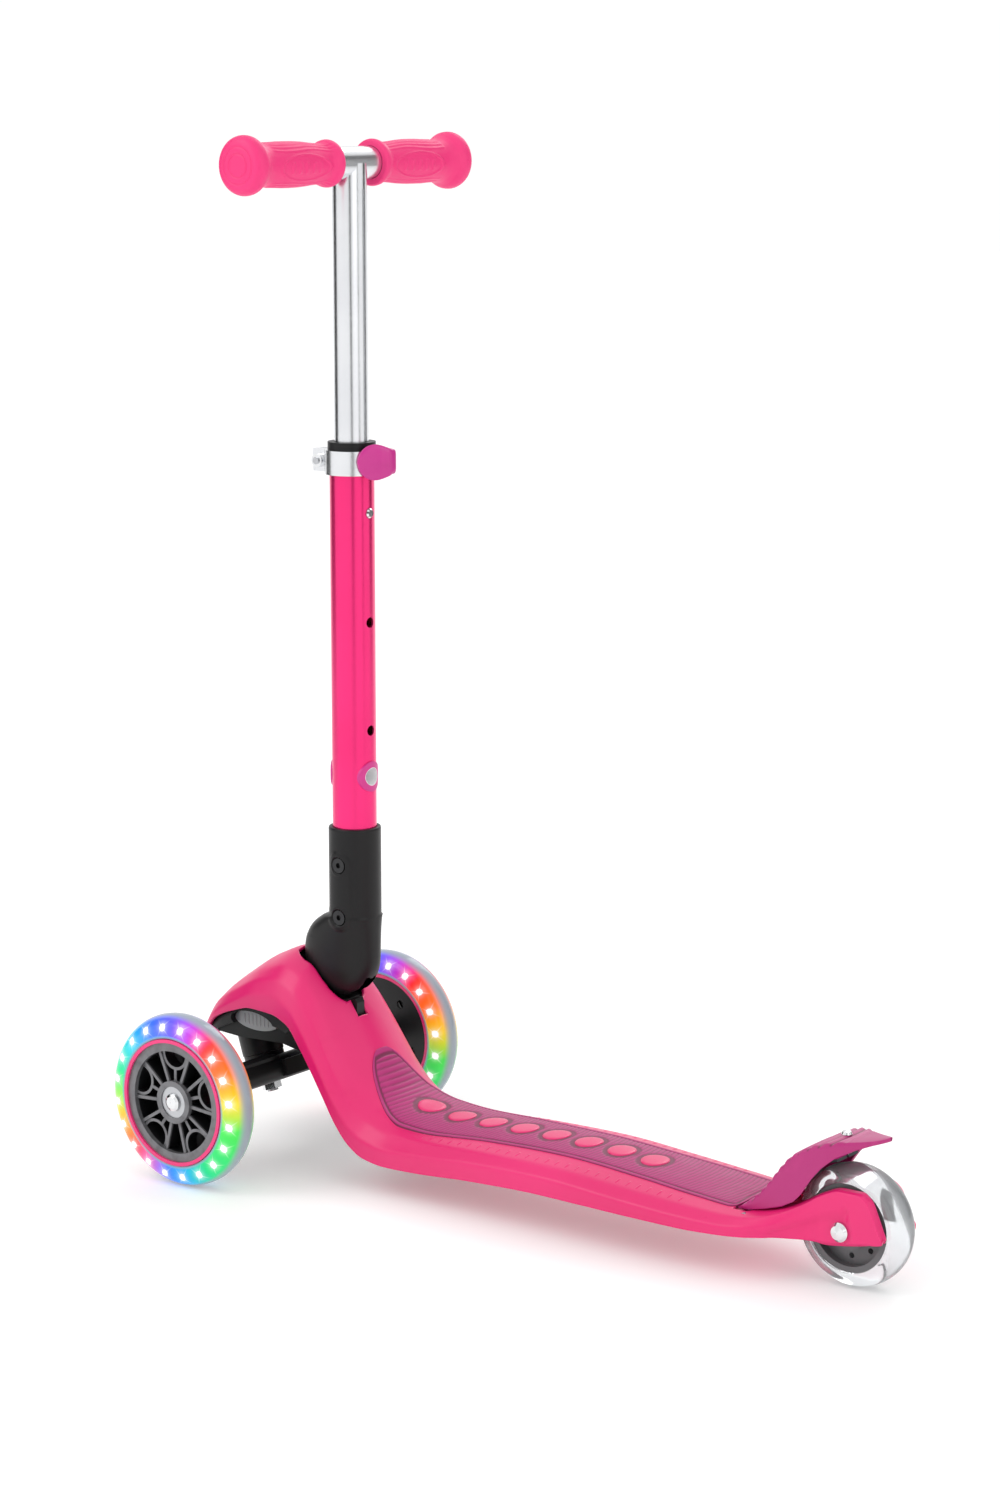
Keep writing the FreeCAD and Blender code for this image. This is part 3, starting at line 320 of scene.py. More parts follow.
def deck_skin(behind, girth, softness=1.7):
    """Points (rows, columns, 3) of the deck skin.  Across, girth runs 0..144
    from one lower rim over the crest to the other; corner points of the section
    are blended with a bell-shaped weight, which rounds every edge alike."""
    low_w, low_z, mid_w, mid_z, top_w, top_z, crest = deck_sizes(behind)
    slot = np.interp(behind, *SLOT_PLAN)
    slot = np.where(behind > 436, WHEEL_SLOT_HALF, np.minimum(slot, 0.72 * top_w))
    nub = np.minimum(NUB_HALF, 0.3 * top_w)
    on_crown = np.stack([top_w, top_w * 0.93, top_w * 0.86, (top_w * 0.86 + slot) / 2, slot,
                         (slot + nub) / 2, nub, nub / 2, nub * 0], 1)
    crown_z = crest[:, None] - (crest - top_z)[:, None] * (on_crown / top_w[:, None]) ** 2
    bevel_w, bevel_z = (mid_w + top_w) / 2 + 1.2, (mid_z + top_z) / 2 + 1.6
    side = np.stack([low_w, (low_w + mid_w) / 2, mid_w, (mid_w + bevel_w) / 2, bevel_w,
                     (bevel_w + top_w) / 2], 1)
    side_z = np.stack([low_z, (low_z + mid_z) / 2, mid_z, (mid_z + bevel_z) / 2, bevel_z,
                       (bevel_z + top_z) / 2], 1)
    half_x = np.hstack([side, on_crown])
    half_z = np.hstack([side_z, crown_z])
    knots = np.concatenate([GIRTH, 2 * HALF_GIRTH - GIRTH[-2::-1]])
    all_x = np.hstack([half_x, -half_x[:, -2::-1]])
    all_z = np.hstack([half_z, half_z[:, -2::-1]])
    fine = np.arange(0, 2 * HALF_GIRTH + 0.2, 0.4)
    hats = np.stack([np.interp(fine, knots, row) for row in np.eye(len(knots))], 1)
    bell = np.exp(-((girth[:, None] - fine[None]) / softness) ** 2 / 2)
    weights = (bell / bell.sum(1, keepdims=True)) @ hats
    y = np.repeat((front_y + behind)[:, None], len(girth), 1)
    return np.stack([all_x @ weights.T, y, all_z @ weights.T], 2)


def grid_piece(name, points, finish, keep=None, ring=False, loop=False, flip=False, marks=None,
               closed=False):
    """Mesh of quads between neighbours of a grid of points in millimetres.
    ring joins the last column to the first, loop the last row to the first, and
    keep drops cells.  marks adds named values per point.  closed merges the
    poles and turns every face outwards."""
    rows, columns = points.shape[:2]
    number = np.arange(rows * columns).reshape(rows, columns)
    if ring:
        number = np.hstack([number, number[:, :1]])
    if loop:
        number = np.vstack([number, number[:1]])
    quads = np.stack([number[:-1, :-1], number[:-1, 1:], number[1:, 1:], number[1:, :-1]], 2)
    quads = quads[keep] if keep is not None else quads.reshape(-1, 4)
    if flip:
        quads = quads[:, ::-1]
    used, quads = np.unique(quads, return_inverse=True)
    quads = quads.reshape(-1, 4)
    mesh = bpy.data.meshes.new(name)
    mesh.from_pydata((points.reshape(-1, 3)[used] * MM).tolist(), [], quads.tolist())
    for mark, values in (marks or {}).items():
        layer = mesh.attributes.new(mark, "FLOAT", "POINT")
        layer.data.foreach_set("value", values.reshape(-1)[used].astype(np.float32))
    if closed:
        seal(mesh)
    mesh.polygons.foreach_set("use_smooth", np.ones(len(mesh.polygons), bool))
    mesh.materials.append(finish)
    made = bpy.data.objects.new(name, mesh)
    bpy.context.scene.collection.objects.link(made)
    return made


def seal(mesh):
    """Merges doubled points, closes flat ends and turns every face outwards."""
    work = bmesh.new()
    work.from_mesh(mesh)
    bmesh.ops.remove_doubles(work, verts=work.verts, dist=1e-6)
    bmesh.ops.holes_fill(work, edges=[edge for edge in work.edges if edge.is_boundary], sides=0)
    bmesh.ops.recalc_face_normals(work, faces=work.faces)
    work.to_mesh(mesh)
    work.free()


def join(first, *others):
    """Makes several meshes one piece."""
    with bpy.context.temp_override(active_object=first, selected_editable_objects=[first, *others]):
        bpy.ops.object.join()
    return first


def sunk(distance, radius, edge):
    """1 inside the radius, 0 outside it, with a slope as wide as edge."""
    share = np.clip((radius - distance) / edge + 0.5, 0, 1)
    return share * share * (3 - 2 * share)


deck_rows = np.unique(np.concatenate([
    np.linspace(-58.6, 396, 190), np.linspace(396, 498, 74), np.linspace(498, 505.6, 9),
    [18.9, 61.0, 68.5, 401.5, 430.0]]))
half_columns = np.unique(np.concatenate([np.linspace(0, 46, 34), np.linspace(46, 72, 14),
                                         [53.4, 66.5]]))
deck_columns = np.concatenate([half_columns, 2 * HALF_GIRTH - half_columns[-2::-1]])
skin = deck_skin(deck_rows, deck_columns)
behind_axle = skin[:, :, 1] - front_y
from_bolt = np.hypot(skin[:, :, 1] - rear_y, skin[:, :, 2] - rear_z)
on_fork = (behind_axle > 425) & (np.abs(skin[:, :, 0]) > 15) & (np.abs(skin[:, :, 0]) < 45)
bolt_seat = sunk(from_bolt, 8.6, 1.4)
under_line = 31 + (behind_axle - 425) * 0.42 - skin[:, :, 2]
side_dish = 1.9 * sunk(-under_line, 0.8, 1.8) * sunk(behind_axle, 480, 5) * sunk(-behind_axle, -431, 8)
skin[:, :, 0] -= np.sign(skin[:, :, 0]) * np.where(on_fork, np.maximum(bolt_seat, side_dish), 0)
middle_s = (behind_axle[:-1, :-1] + behind_axle[1:, 1:]) / 2
middle_g = np.abs(HALF_GIRTH - (deck_columns[:-1] + deck_columns[1:]) / 2)[None] + 0 * middle_s
middle_x = np.abs(skin[:-1, :-1, 0] + skin[1:, 1:, 0]) / 2
slot_girth = HALF_GIRTH - 53.4
knuckle_slot = (middle_s > 18.9) & (middle_s < 61) & (middle_g < slot_girth)
nub_slot = (middle_s > 58) & (middle_s < 68.5) & (middle_g < HALF_GIRTH - 66.5)
well_half = np.interp(middle_s, [401.4, 401.5, 412, 430], [0, 31, 31, WHEEL_SLOT_HALF])
brake_well = (middle_s > 401.5) & (middle_s < 430) & (middle_x < well_half)
wheel_slot = (middle_s > 430) & (middle_g < slot_girth)
deck_shell = grid_piece("deck_body", skin, shell_pink,
                        keep=~(knuckle_slot | nub_slot | brake_well | wheel_slot), flip=True)
wall = deck_shell.modifiers.new("wall", "SOLIDIFY")
wall.thickness = WALL * MM
wall.offset = -1


def bar_along(name, path, width, height, finish):
    """A closed bar of rectangular section along a path of points (n, 3): each
    section has half the width to both sides (a vector) and rises to height."""
    low_left, low_right = path - width, path + width
    lift = np.zeros_like(path)
    lift[:, 2] = height
    ring = np.stack([low_left, low_right, low_right + lift, low_left + lift], 1)
    return grid_piece(name, ring, finish, ring=True, closed=True)


# Ribs and rails under the footplate, the floor of the brake well and the inner
# cheeks of the fork; all are the same moulding.
RIB_FOOT, RIB_HALF, UNDER_WALL = 30.5, 0.9, 2.2
under_parts = []
for behind in range(150, 391, 40):
    x = np.linspace(-47, 47, 25)
    s = np.full_like(x, behind)
    half_w = deck_sizes(s[:1])[2][0] - 4.0
    x *= half_w / 47
    top = np.minimum(crown(x, s), np.interp(np.abs(x), [0, 30, half_w], [60, 52, 42])) - UNDER_WALL
    shoulder_z = crown(np.array([31.0]), s[:1])[0] - 2
    top = np.minimum(top, np.interp(np.abs(x), [0, 31, 50], [99, shoulder_z, 38]))
    path = np.stack([x, front_y + s, np.full_like(x, RIB_FOOT)], 1)
    under_parts.append(bar_along(f"under_rib_{behind}", path, np.array([0, RIB_HALF, 0]), top - RIB_FOOT,
                                 shell_pink))
for across in (-20.0, 20.0):
    s = np.linspace(118, 397, 60)
    path = np.stack([np.full_like(s, across), front_y + s, np.full_like(s, RIB_FOOT)], 1)
    under_parts.append(bar_along(f"under_rail_{across:.0f}", path, np.array([RIB_HALF, 0, 0]),
                                 crown(path[:, 0], s) - UNDER_WALL - RIB_FOOT, shell_pink))
s = np.linspace(394, 429, 12)
floor_path = np.stack([0 * s, front_y + s, np.full_like(s, 30.2)], 1)
floor_half_w = np.interp(s, [394, 412, 429], [41, 40, 33])[:, None] * [1, 0, 0]
under_parts.append(bar_along("brake_well_floor", floor_path, floor_half_w, 4.5, shell_pink))
for side in (-1, 1):
    s = np.linspace(429, 505, 60)
    low_w, low_z, mid_w, mid_z, top_w, top_z, crest = deck_sizes(s)
    share = np.linspace(0, 1, 12)[None]
    z = (low_z + 0.6)[:, None] * (1 - share) + (crest - 0.5)[:, None] * share
    face = np.stack([np.full_like(z, side * 14.6), np.repeat((front_y + s)[:, None], 12, 1), z], 2)
    inner = face + [side * 1.2, 0, 0]
    ring = np.concatenate([face, inner[:, ::-1]], 1)
    under_parts.append(grid_piece(f"fork_cheek_{side}", ring, shell_pink, ring=True, closed=True))
deck_ribs = join(*under_parts)
deck_ribs.name = "deck_ribs"

# Short moulded ridges in a row along both shoulders, between mat and crease.
ridge_parts = []
ridge_s = np.arange(152, 372, 8.2)
along = np.linspace(-1, 1, 5)
across = np.linspace(0, 1, 9)
for side in (0, 1):
    for centre_s in ridge_s:
        rows = centre_s + along * 0.85
        girth = 29.5 + across * 7.5
        patch = deck_skin(rows, girth if side else 2 * HALF_GIRTH - girth)
        swell = (1 - along ** 2)[:, None] * np.sin(math.pi * np.clip(across, 0, 1))[None] ** 0.6
        patch[:, :, 2] += swell * 0.55 - 0.08
        ridge_parts.append(grid_piece(f"ridge_{side}_{centre_s:.0f}", patch, shell_pink, flip=side == 1))
shoulder_ridges = join(*ridge_parts)
shoulder_ridges.name = "shoulder_ridges"
for shell_part in (deck_shell, deck_ribs, shoulder_ridges):
    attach(shell_part, "deck")
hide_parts("deck_shell")

# ---------------------------------------------------------------- inner frame
# Glass-filled nylon core under the hood: it holds the leaning kingpin, the
# fold hinge lug and the push button.


def dress(finish, *nodes):
    """Gives CAD nodes a finish in every material slot."""
    for name in nodes:
        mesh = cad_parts[name].data
        if not mesh.materials:
            mesh.materials.append(finish)
        for index in range(len(mesh.materials)):
            mesh.materials[index] = finish


black_plastic = moulded("black_glass_filled_nylon", (0.007, 0.007, 0.008), (0.013, 0.0125, 0.012), 0.4,
                        grain_mm=0.09, ior=1.33)
dress(black_plastic, "inner_frame", "front_truck", "stem_foot_bush", "clamp_bush")

# ---------------------------------------------------------------- standing mat
# Soft over-moulded mat let into the deck: a plain lip, a border groove and
# a field of arched cross ribs that grip a shoe; groove and rib hollows get painted shade.
PLUM = (0.45, 0.016, 0.17)
PLUM_PAINTED_SHADE = (0.16, 0.006, 0.055)
MAT_END = 404.4
MAT_PLAN = np.array([
    (84, 0.05), (84.6, 5), (86, 10), (90.5, 17), (97, 22), (104, 26), (118, 33), (131, 36), (150, 35.8),
    (172, 34), (210, 31), (250, 29), (290, 28.5), (330, 29), (370, 30), (396, 30), (401, 28.4), (403.6, 22),
    (404.4, 0.05)])
mat_rows = np.unique(np.concatenate([
    np.linspace(84, 92, 22), np.linspace(92, 393, 430), np.linspace(393, MAT_END, 24)]))
mat_half = np.maximum(flowing(mat_rows, MAT_PLAN[:, 0], MAT_PLAN[:, 1:]).ravel(), 0.05)
share = np.sin(np.linspace(-1, 1, 61) * math.pi / 2)
mat_x = share[None] * mat_half[:, None]
mat_s = np.repeat(mat_rows[:, None], len(share), 1)
RIB_PITCH = 3.3
edge_gap = np.minimum((1 - np.abs(share))[None] * mat_half[:, None],
                      np.minimum((mat_s - 84) * 0.9, MAT_END - mat_s))
arch = 0.0075 * mat_x ** 2
rib_phase = (mat_s + arch) / RIB_PITCH * 2 * math.pi
in_field = 1 - sunk(edge_gap, 4.4, 0.8)
lip = sunk(edge_gap, 2.6, 0.7) * (1 - sunk(edge_gap, 0.35, 0.7))
rib = (0.5 + 0.5 * np.cos(rib_phase)) ** 0.7
studs_s = 130 + 27 * np.arange(8)
stud_gap = np.min(np.stack([np.hypot(mat_s - c, mat_x * 11 / 13.5) for c in studs_s]), 0)
clear_field = 1 - sunk(stud_gap, 12.2, 0.6)
rise = 0.28 + 0.62 * lip + in_field * clear_field * (0.12 + 0.5 * rib) - 1.6 * sunk(edge_gap, 0.3, 0.7)
mat_z = crown(mat_x, mat_s) + rise
mat_points = np.stack([mat_x, front_y + mat_s, mat_z], 2)
mat = Finish("plum_soft_tread")
depth = mat.add("ShaderNodeAttribute", {"attribute_name": "rise"}, out="Fac")
# Painted shade: the mat colour darkens where the rise is low, in the border groove and the hollows between
# ribs.
groove_shade_share = depth.step(0.2, 0.8)
dust = mat.noise(60.0, 4.0)
groove_shaded_mat_colour = mat.between(groove_shade_share, PLUM_PAINTED_SHADE, PLUM)
mat_finish = mat.set(
    base_color=mat.between(dust.step(0.5, 0.85) * 0.25, groove_shaded_mat_colour, (0.62, 0.03, 0.22)),
    roughness=0.5 + (dust - 0.5) * 0.15, normal=mat.bump(mat.noise(2200.0, 2.0), 0.06, 0.4), ior=1.5)
standing_mat = grid_piece("standing_mat", mat_points, mat_finish, marks={"rise": rise})
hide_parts("footplate_pad")
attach(standing_mat, "deck")

# Row of plain oval studs of the deck colour that show through the mat.
stud_parts = []
turn = np.linspace(0, 2 * math.pi, 48, endpoint=False)
stud_rings = np.array([
    (0.0, 1.0), (0.35, 1.0), (0.7, 0.97), (0.86, 0.9), (0.94, 0.7), (0.985, 0.4), (1.0, -0.4)])
for centre_s in studs_s:
    radius, lift = stud_rings[:, 0], stud_rings[:, 1]
    stud_x = 11.2 * radius[:, None] * np.cos(turn)[None]
    stud_s = centre_s + 9.2 * radius[:, None] * np.sin(turn)[None]
    dish = 0.35 * sunk(np.abs(radius - 0.55), 0.07, 0.08)
    stud_z = crown(stud_x, stud_s) + (lift * 1.15 - dish)[:, None]
    stud_parts.append(grid_piece(f"stud_{centre_s}", np.stack([stud_x, front_y + stud_s, stud_z], 2),
                                 shell_pink, ring=True, flip=True))
pad_studs = join(*stud_parts)
pad_studs.name = "mat_studs"
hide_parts("pad_studs")
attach(pad_studs, "deck")

# ---------------------------------------------------------------- foot brake
# Stiff moulded hood over the rear wheel: arched cross ribs on top, a cheek down
# each side, a seat underneath for the riveted rubber liner, hinged on a pin.
BRAKE_TOP = np.array([
    (405.6, 43.8), (405.8, 45.2), (407, 46.6), (412, 49.8), (419, 56), (427, 65.5), (434, 75.2), (441, 83.4),
    (449, 89.4), (460, 94.4), (471, 97), (482, 98), (491, 99.2), (498.8, 101)])
BRAKE_LOW = np.array([
    (405, 43.6), (412, 43.8), (425, 46.6), (436, 49.7), (444, 54), (449, 59.5), (452, 64.5), (456, 71),
    (462, 79), (470, 86.5), (480, 92), (490, 96), (498.8, 98.8)])
BRAKE_HALF = np.array([
    (405, 28.2), (408, 29.4), (425, 29), (445, 27.5), (463, 23.5), (480, 14.5), (487, 10.6), (492, 7.6),
    (496, 4.6), (498, 2.6), (498.8, 0.8)])
plum_firm = moulded("plum_firm_plastic", PLUM, (0.36, 0.012, 0.12), 0.4, coat=0.1)
run = np.concatenate([[0], np.cumsum(np.hypot(*np.diff(BRAKE_TOP, axis=0).T))])
rows_at = np.linspace(0, run[-1], 260)
spine = flowing(rows_at, run, BRAKE_TOP)
slope = np.gradient(spine, axis=0)
slope /= np.hypot(slope[:, 0], slope[:, 1])[:, None]
low_z = np.minimum(np.interp(spine[:, 0], BRAKE_LOW[:, 0], BRAKE_LOW[:, 1]), spine[:, 1] - 1.2)
half = flowing(spine[:, 0], BRAKE_HALF[:, 0], BRAKE_HALF[:, 1:]).ravel()
drop = spine[:, 1] - low_z
corner_x = np.stack([half - 0.6, half, half, half * 0.97, half * 0.6, half * 0.3, half * 0], 1)
corner_z = np.stack([-drop, -drop * 0.5, -np.minimum(2.2, drop * 0.3), 0 * half, 0.35 + 0 * half,
                     0.5 + 0 * half, 0.55 + 0 * half], 1)
span = np.array([0, 10, 19, 22, 32, 42, 52.0])
knots = np.concatenate([span, 104 - span[-2::-1]])
fine = np.arange(0, 104.2, 0.5)
places = np.linspace(0, 104, 79)
hats = np.stack([np.interp(fine, knots, row) for row in np.eye(13)], 1)
bell = np.exp(-((places[:, None] - fine[None]) / 1.1) ** 2 / 2)
weights = (bell / bell.sum(1, keepdims=True)) @ hats
brake_x = np.hstack([corner_x, -corner_x[:, -2::-1]]) @ weights.T
brake_lift = np.hstack([corner_z, corner_z[:, -2::-1]]) @ weights.T
wave = (rows_at[:, None] + 0.006 * brake_x ** 2) / 6.9
tread = np.clip(0.5 + 0.5 * np.cos(2 * math.pi * wave), 0, 1) ** 0.6
inset = np.clip(1 + brake_lift / 2.4, 0, 1)
inset = inset * np.clip((rows_at[:, None] - 5) / 2, 0, 1)
inset = inset * np.clip((run[-1] - 22 - rows_at[:, None]) / 5, 0, 1)
rib_rise = inset * (tread - 0.65) * 1.5
brake_y = front_y + spine[:, :1] - slope[:, 1:] * rib_rise + 0 * brake_x
brake_z = spine[:, 1:] + brake_lift + slope[:, :1] * rib_rise
brake_finish = Finish("plum_brake_tread")
rise_mark = brake_finish.add("ShaderNodeAttribute", {"attribute_name": "rise"}, out="Fac")
scuff = brake_finish.noise(70.0, 4.0)
# Painted shade: the brake colour darkens in the hollows between the ribs, following the rise mark.
rib_shaded_brake_colour = brake_finish.between(rise_mark.step(-0.9, -0.1), PLUM_PAINTED_SHADE, PLUM)
scuffed = brake_finish.between(scuff.step(0.55, 0.9) * 0.3, rib_shaded_brake_colour, (0.66, 0.05, 0.27))
brake_finish.set(base_color=scuffed,
                 roughness=0.42 + (scuff - 0.5) * 0.16, coat_weight=0.08,
                 normal=brake_finish.bump(brake_finish.noise(2400.0, 2.0), 0.05, 0.35))
foot_brake = grid_piece("foot_brake", np.stack([brake_x, brake_y, brake_z], 2), brake_finish.material,
                        marks={"rise": rib_rise}, flip=True)
wall = foot_brake.modifiers.new("wall", "SOLIDIFY")
wall.thickness = 2.2 * MM
wall.offset = -1
seat_turn = np.radians(np.linspace(99, 146, 30))
seat_inner, seat_outer = 45.1, np.interp(seat_turn, np.radians([99, 146]), [51.5, 51])
seat_ring = []
for x_side, radius in ((-13.5, seat_inner), (13.5, seat_inner), (13.5, seat_outer), (-13.5, seat_outer)):
    seat_ring.append(np.stack([np.full(30, x_side), rear_y + radius * np.cos(seat_turn),
                               rear_z + radius * np.sin(seat_turn)], 1))
liner_seat = grid_piece("liner_seat", np.stack(seat_ring, 1), plum_firm, ring=True, closed=True)
_, hinge_y, hinge_z = centre("brake_hinge_pin")
knuckle_turn = np.linspace(0, 2 * math.pi, 40, endpoint=False)
knuckle_x = np.array([-25.5, -25.5, -9, -9])
knuckle_r = np.array([2.6, 4.4, 4.4, 2.6])
hinge_parts = []
for side in (-1, 1):
    ring = np.stack([np.repeat(side * knuckle_x[None], 40, 0),
                     hinge_y + knuckle_r[None] * np.cos(knuckle_turn)[:, None],
                     hinge_z + knuckle_r[None] * np.sin(knuckle_turn)[:, None]], 2)
    hinge_parts.append(grid_piece(f"brake_knuckle_{side}", ring, plum_firm, ring=True, loop=True,
                                  closed=True))
brake_mounts = join(liner_seat, *hinge_parts)
brake_mounts.name = "brake_mounts"
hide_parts("rear_brake")
for brake_part in (foot_brake, brake_mounts):
    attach(brake_part, "brake")

slate_rubber = moulded("slate_rubber", (0.035, 0.042, 0.05), (0.06, 0.065, 0.07), 0.62, grain_mm=0.12)
dress(slate_rubber, "brake_liner", "steering_bush")


# ---------------------------------------------------------------- steel parts
# Bolts, pins and nuts of nickel-plated steel; hidden pins and springs are
# plain ground steel with faint turning marks.
def plated(name, colour, roughness, scratch):
    """Metal with soft cloudy polish and fine scratches in every direction."""
    finish = Finish(name)
    haze = finish.noise(120.0, 5.0)
    hair = finish.noise(900.0, 2.0, (1, 6, 1))
    tint = finish.between(haze.step(0.4, 0.8) * 0.5, colour, tuple(0.72 * part for part in colour))
    return finish.set(base_color=tint, metallic=1.0, roughness=roughness + (haze - 0.5) * 0.14,
                      normal=finish.bump(hair, scratch, 0.3))


bright_plate = plated("bright_nickel_plate", (0.78, 0.79, 0.8), 0.14, 0.01)
ground_steel = plated("ground_steel", (0.52, 0.53, 0.55), 0.32, 0.03)
dress(bright_plate, "clamp_nut", "snap_button", "kingpin_nut", "rear_axle_bolt", "rear_axle_nut",
      "brake_rivet", "front_axle_left", "front_axle_right")
dress(ground_steel, "fold_button_spring", "fold_pivot_pin", "clamp_bolt", "clamp_barrel_pin",
      "snap_leaf", "kingpin", "rear_bearings", "rear_spacers", "brake_hinge_pin", "brake_spring",
      "front_bearings_left", "front_bearings_right")
black_screws = plated("black_oxide_screws", (0.05, 0.05, 0.052), 0.34, 0.02)
dress(black_screws, "sleeve_screws")


# ---------------------------------------------------------------- rear wheel
# Clear cast polyurethane tyre on a grey core with two bearings.
def wheel_ring(profile, centre_x, centre_y, centre_z, side, steps):
    """A profile of (radius, across) points turned about an axle along X."""
    turn = np.linspace(0, 2 * math.pi, steps, endpoint=False)
    radius, across = profile[:, 0], profile[:, 1]
    x = np.repeat((centre_x + side * across)[None], steps, 0)
    return np.stack([x, centre_y + radius[None] * np.cos(turn)[:, None],
                     centre_z + radius[None] * np.sin(turn)[:, None]], 2)


def rounded_outline(corners, softness, step):
    """A closed outline through corners, resampled evenly and then averaged
    over a bell-shaped window, which rounds each corner by its width."""
    loop = np.vstack([corners, corners[:1]])
    length = np.concatenate([[0], np.cumsum(np.hypot(*np.diff(loop, axis=0).T))])
    count = int(length[-1] / step)
    even = np.arange(count) * length[-1] / count
    points = np.stack([np.interp(even, length, loop[:, 0]), np.interp(even, length, loop[:, 1])], 1)
    gap = np.abs(even[:, None] - even[None])
    gap = np.minimum(gap, length[-1] - gap)
    bell = np.exp(-(gap / softness) ** 2 / 2)
    return (bell / bell.sum(1, keepdims=True)) @ points


arc = np.radians(np.linspace(-80, 80, 17))
rear_profile = rounded_outline(np.vstack([
    [(29.1, 11.9), (29.1, -11.9), (31.2, -11.9)],
    np.stack([31.0 + 9.0 * np.cos(arc) ** 0.85, 12.0 * np.sin(arc)], 1), [(31.2, 11.9)]]), 0.5, 0.9)
clear = Finish("clear_cast_urethane")
swirl = clear.noise(30.0, 3.0)
clear.set(base_color=clear.between(swirl.step(0.45, 0.8) * 0.6, (0.93, 0.95, 0.97), (0.8, 0.84, 0.88)),
          roughness=0.06 + swirl * 0.05, transmission_weight=0.86, ior=1.42,
          normal=clear.bump(clear.noise(55.0, 2.0), 0.12, 0.25))
rear_tyre = grid_piece("rear_tyre_cast", wheel_ring(rear_profile, 0, rear_y, rear_z, 1, 128), clear.material,
                       ring=True, loop=True, closed=True)
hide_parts("rear_tyre")
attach(rear_tyre, "wheel_rear")
grey_rim = moulded("grey_rim_nylon", (0.11, 0.112, 0.118), (0.16, 0.162, 0.168), 0.33, coat=0.15)
dress(grey_rim, "rear_core")

# ---------------------------------------------------------------- front wheels
# Clear tyres lit from inside: twenty lamps on a ring, each a white star, with
# the light between them going round through the colours of the rainbow.
TYRE_COLOURS = [
    (0.00, (0.12, 0.08, 0.85)), (0.05, (0.45, 0.04, 0.55)), (0.10, (0.95, 0.03, 0.03)),
    (0.17, (1.0, 0.16, 0.01)), (0.225, (0.75, 0.55, 0.02)), (0.28, (0.05, 0.62, 0.06)),
    (0.40, (0.0, 0.55, 0.18)), (0.46, (0.0, 0.35, 0.6)), (0.52, (0.03, 0.15, 0.85)),
    (0.57, (0.55, 0.1, 0.4)), (0.62, (0.95, 0.05, 0.05)), (0.68, (0.95, 0.35, 0.03)),
    (0.73, (0.3, 0.65, 0.05)), (0.79, (0.02, 0.62, 0.2)), (0.86, (0.02, 0.5, 0.6)),
    (0.93, (0.03, 0.16, 0.85)), (1.00, (0.12, 0.08, 0.85))]
LAMP_RING = 52.6
LAMPS = 20
track_half = centre("front_tyre_left").x
side_arc = np.radians(np.linspace(-84, 84, 21))
front_profile = rounded_outline(np.vstack([
    [(44.65, 11.9), (44.65, -11.9), (47.5, -11.9)],
    np.stack([50.0 + 10.5 * np.cos(side_arc), 12.0 * np.sin(side_arc)], 1), [(47.5, 11.9)]]), 0.6, 0.9)


def lit_tyre(name, centre_x):
    """Clear tyre: rainbow by angle, a white star at each lamp on both walls."""
    tyre = Finish(name)
    across = (tyre.axis("X") * 1000.0 - centre_x).math("ABSOLUTE")
    behind = tyre.axis("Y") * 1000.0 - front_y
    above = tyre.axis("Z") * 1000.0 - front_z
    radius = (behind * behind + above * above).math("SQRT")
    clock = (behind.math("ARCTAN2", above) / (2 * math.pi) + 1.0).math("FRACT")
    rainbow = tyre.add("ShaderNodeValToRGB", {"stops": TYRE_COLOURS}, clock)
    out = radius - LAMP_RING
    aside = ((clock * float(LAMPS)).math("FRACT") - 0.5) * (2 * math.pi * LAMP_RING / LAMPS)
    apart = (aside * aside + out * out).math("SQRT")
    wall = across.step(7.0, 9.5)
    glow = 1.0 - out.math("ABSOLUTE").step(5.2, 8.0)
    halo = apart.bell(3.4) * wall
    across_ray, up_ray = aside + out, aside - out
    star = (across_ray.bell(0.5) * up_ray.bell(7.0) + up_ray.bell(0.5) * across_ray.bell(7.0)) * wall
    core = (1.0 - (apart + up_ray.math("ABSOLUTE") * 0.12).step(1.9, 3.3)) * wall
    white = (core + halo * 0.42 + star * 0.45).math("MINIMUM", 1.0)
    ripple = tyre.noise(90.0, 3.0)
    inner_band = 1.0 - radius.step(45.6, 47.4)
    cyan = tyre.between(inner_band * 0.6, rainbow, (0.02, 0.42, 0.5))
    # Painted light: the base colour also takes the rainbow glow band here and the white lamp stars below,
    # besides the emission.
    body = tyre.between(glow, (0.34, 0.40, 0.46), cyan)
    lit = tyre.between(glow * (0.55 + ripple * 0.5), (0.0, 0.0, 0.0), cyan)
    shine = tyre.between(white, lit, (1.0, 1.0, 1.0))
    return tyre.set(base_color=tyre.between(white * 0.9, body, (1, 1, 1)), roughness=0.1 + ripple * 0.06,
                    emission_color=shine, emission_strength=0.55, transmission_weight=0.06, ior=1.35,
                    coat_weight=0.25, coat_roughness=0.05, normal=tyre.bump(ripple, 0.1, 0.2))


def cast_rim(name, centre_x):
    """Grey satin face on the spokes, loops and band; black deeper in the wheel."""
    rim = Finish(name)
    depth = (rim.axis("X") * 1000.0).math("ABSOLUTE") - abs(centre_x)
    face = depth.step(7.2, 8.0)
    haze = rim.noise(130.0, 4.0)
    face_grey = rim.between(haze.step(0.4, 0.75), (0.19, 0.19, 0.2), (0.13, 0.13, 0.138))
    return rim.set(base_color=rim.between(face, (0.008, 0.008, 0.009), face_grey), metallic=face * 0.35,
                   roughness=0.3 + haze * 0.12, normal=rim.bump(haze, 0.05, 0.2), ior=1.4)


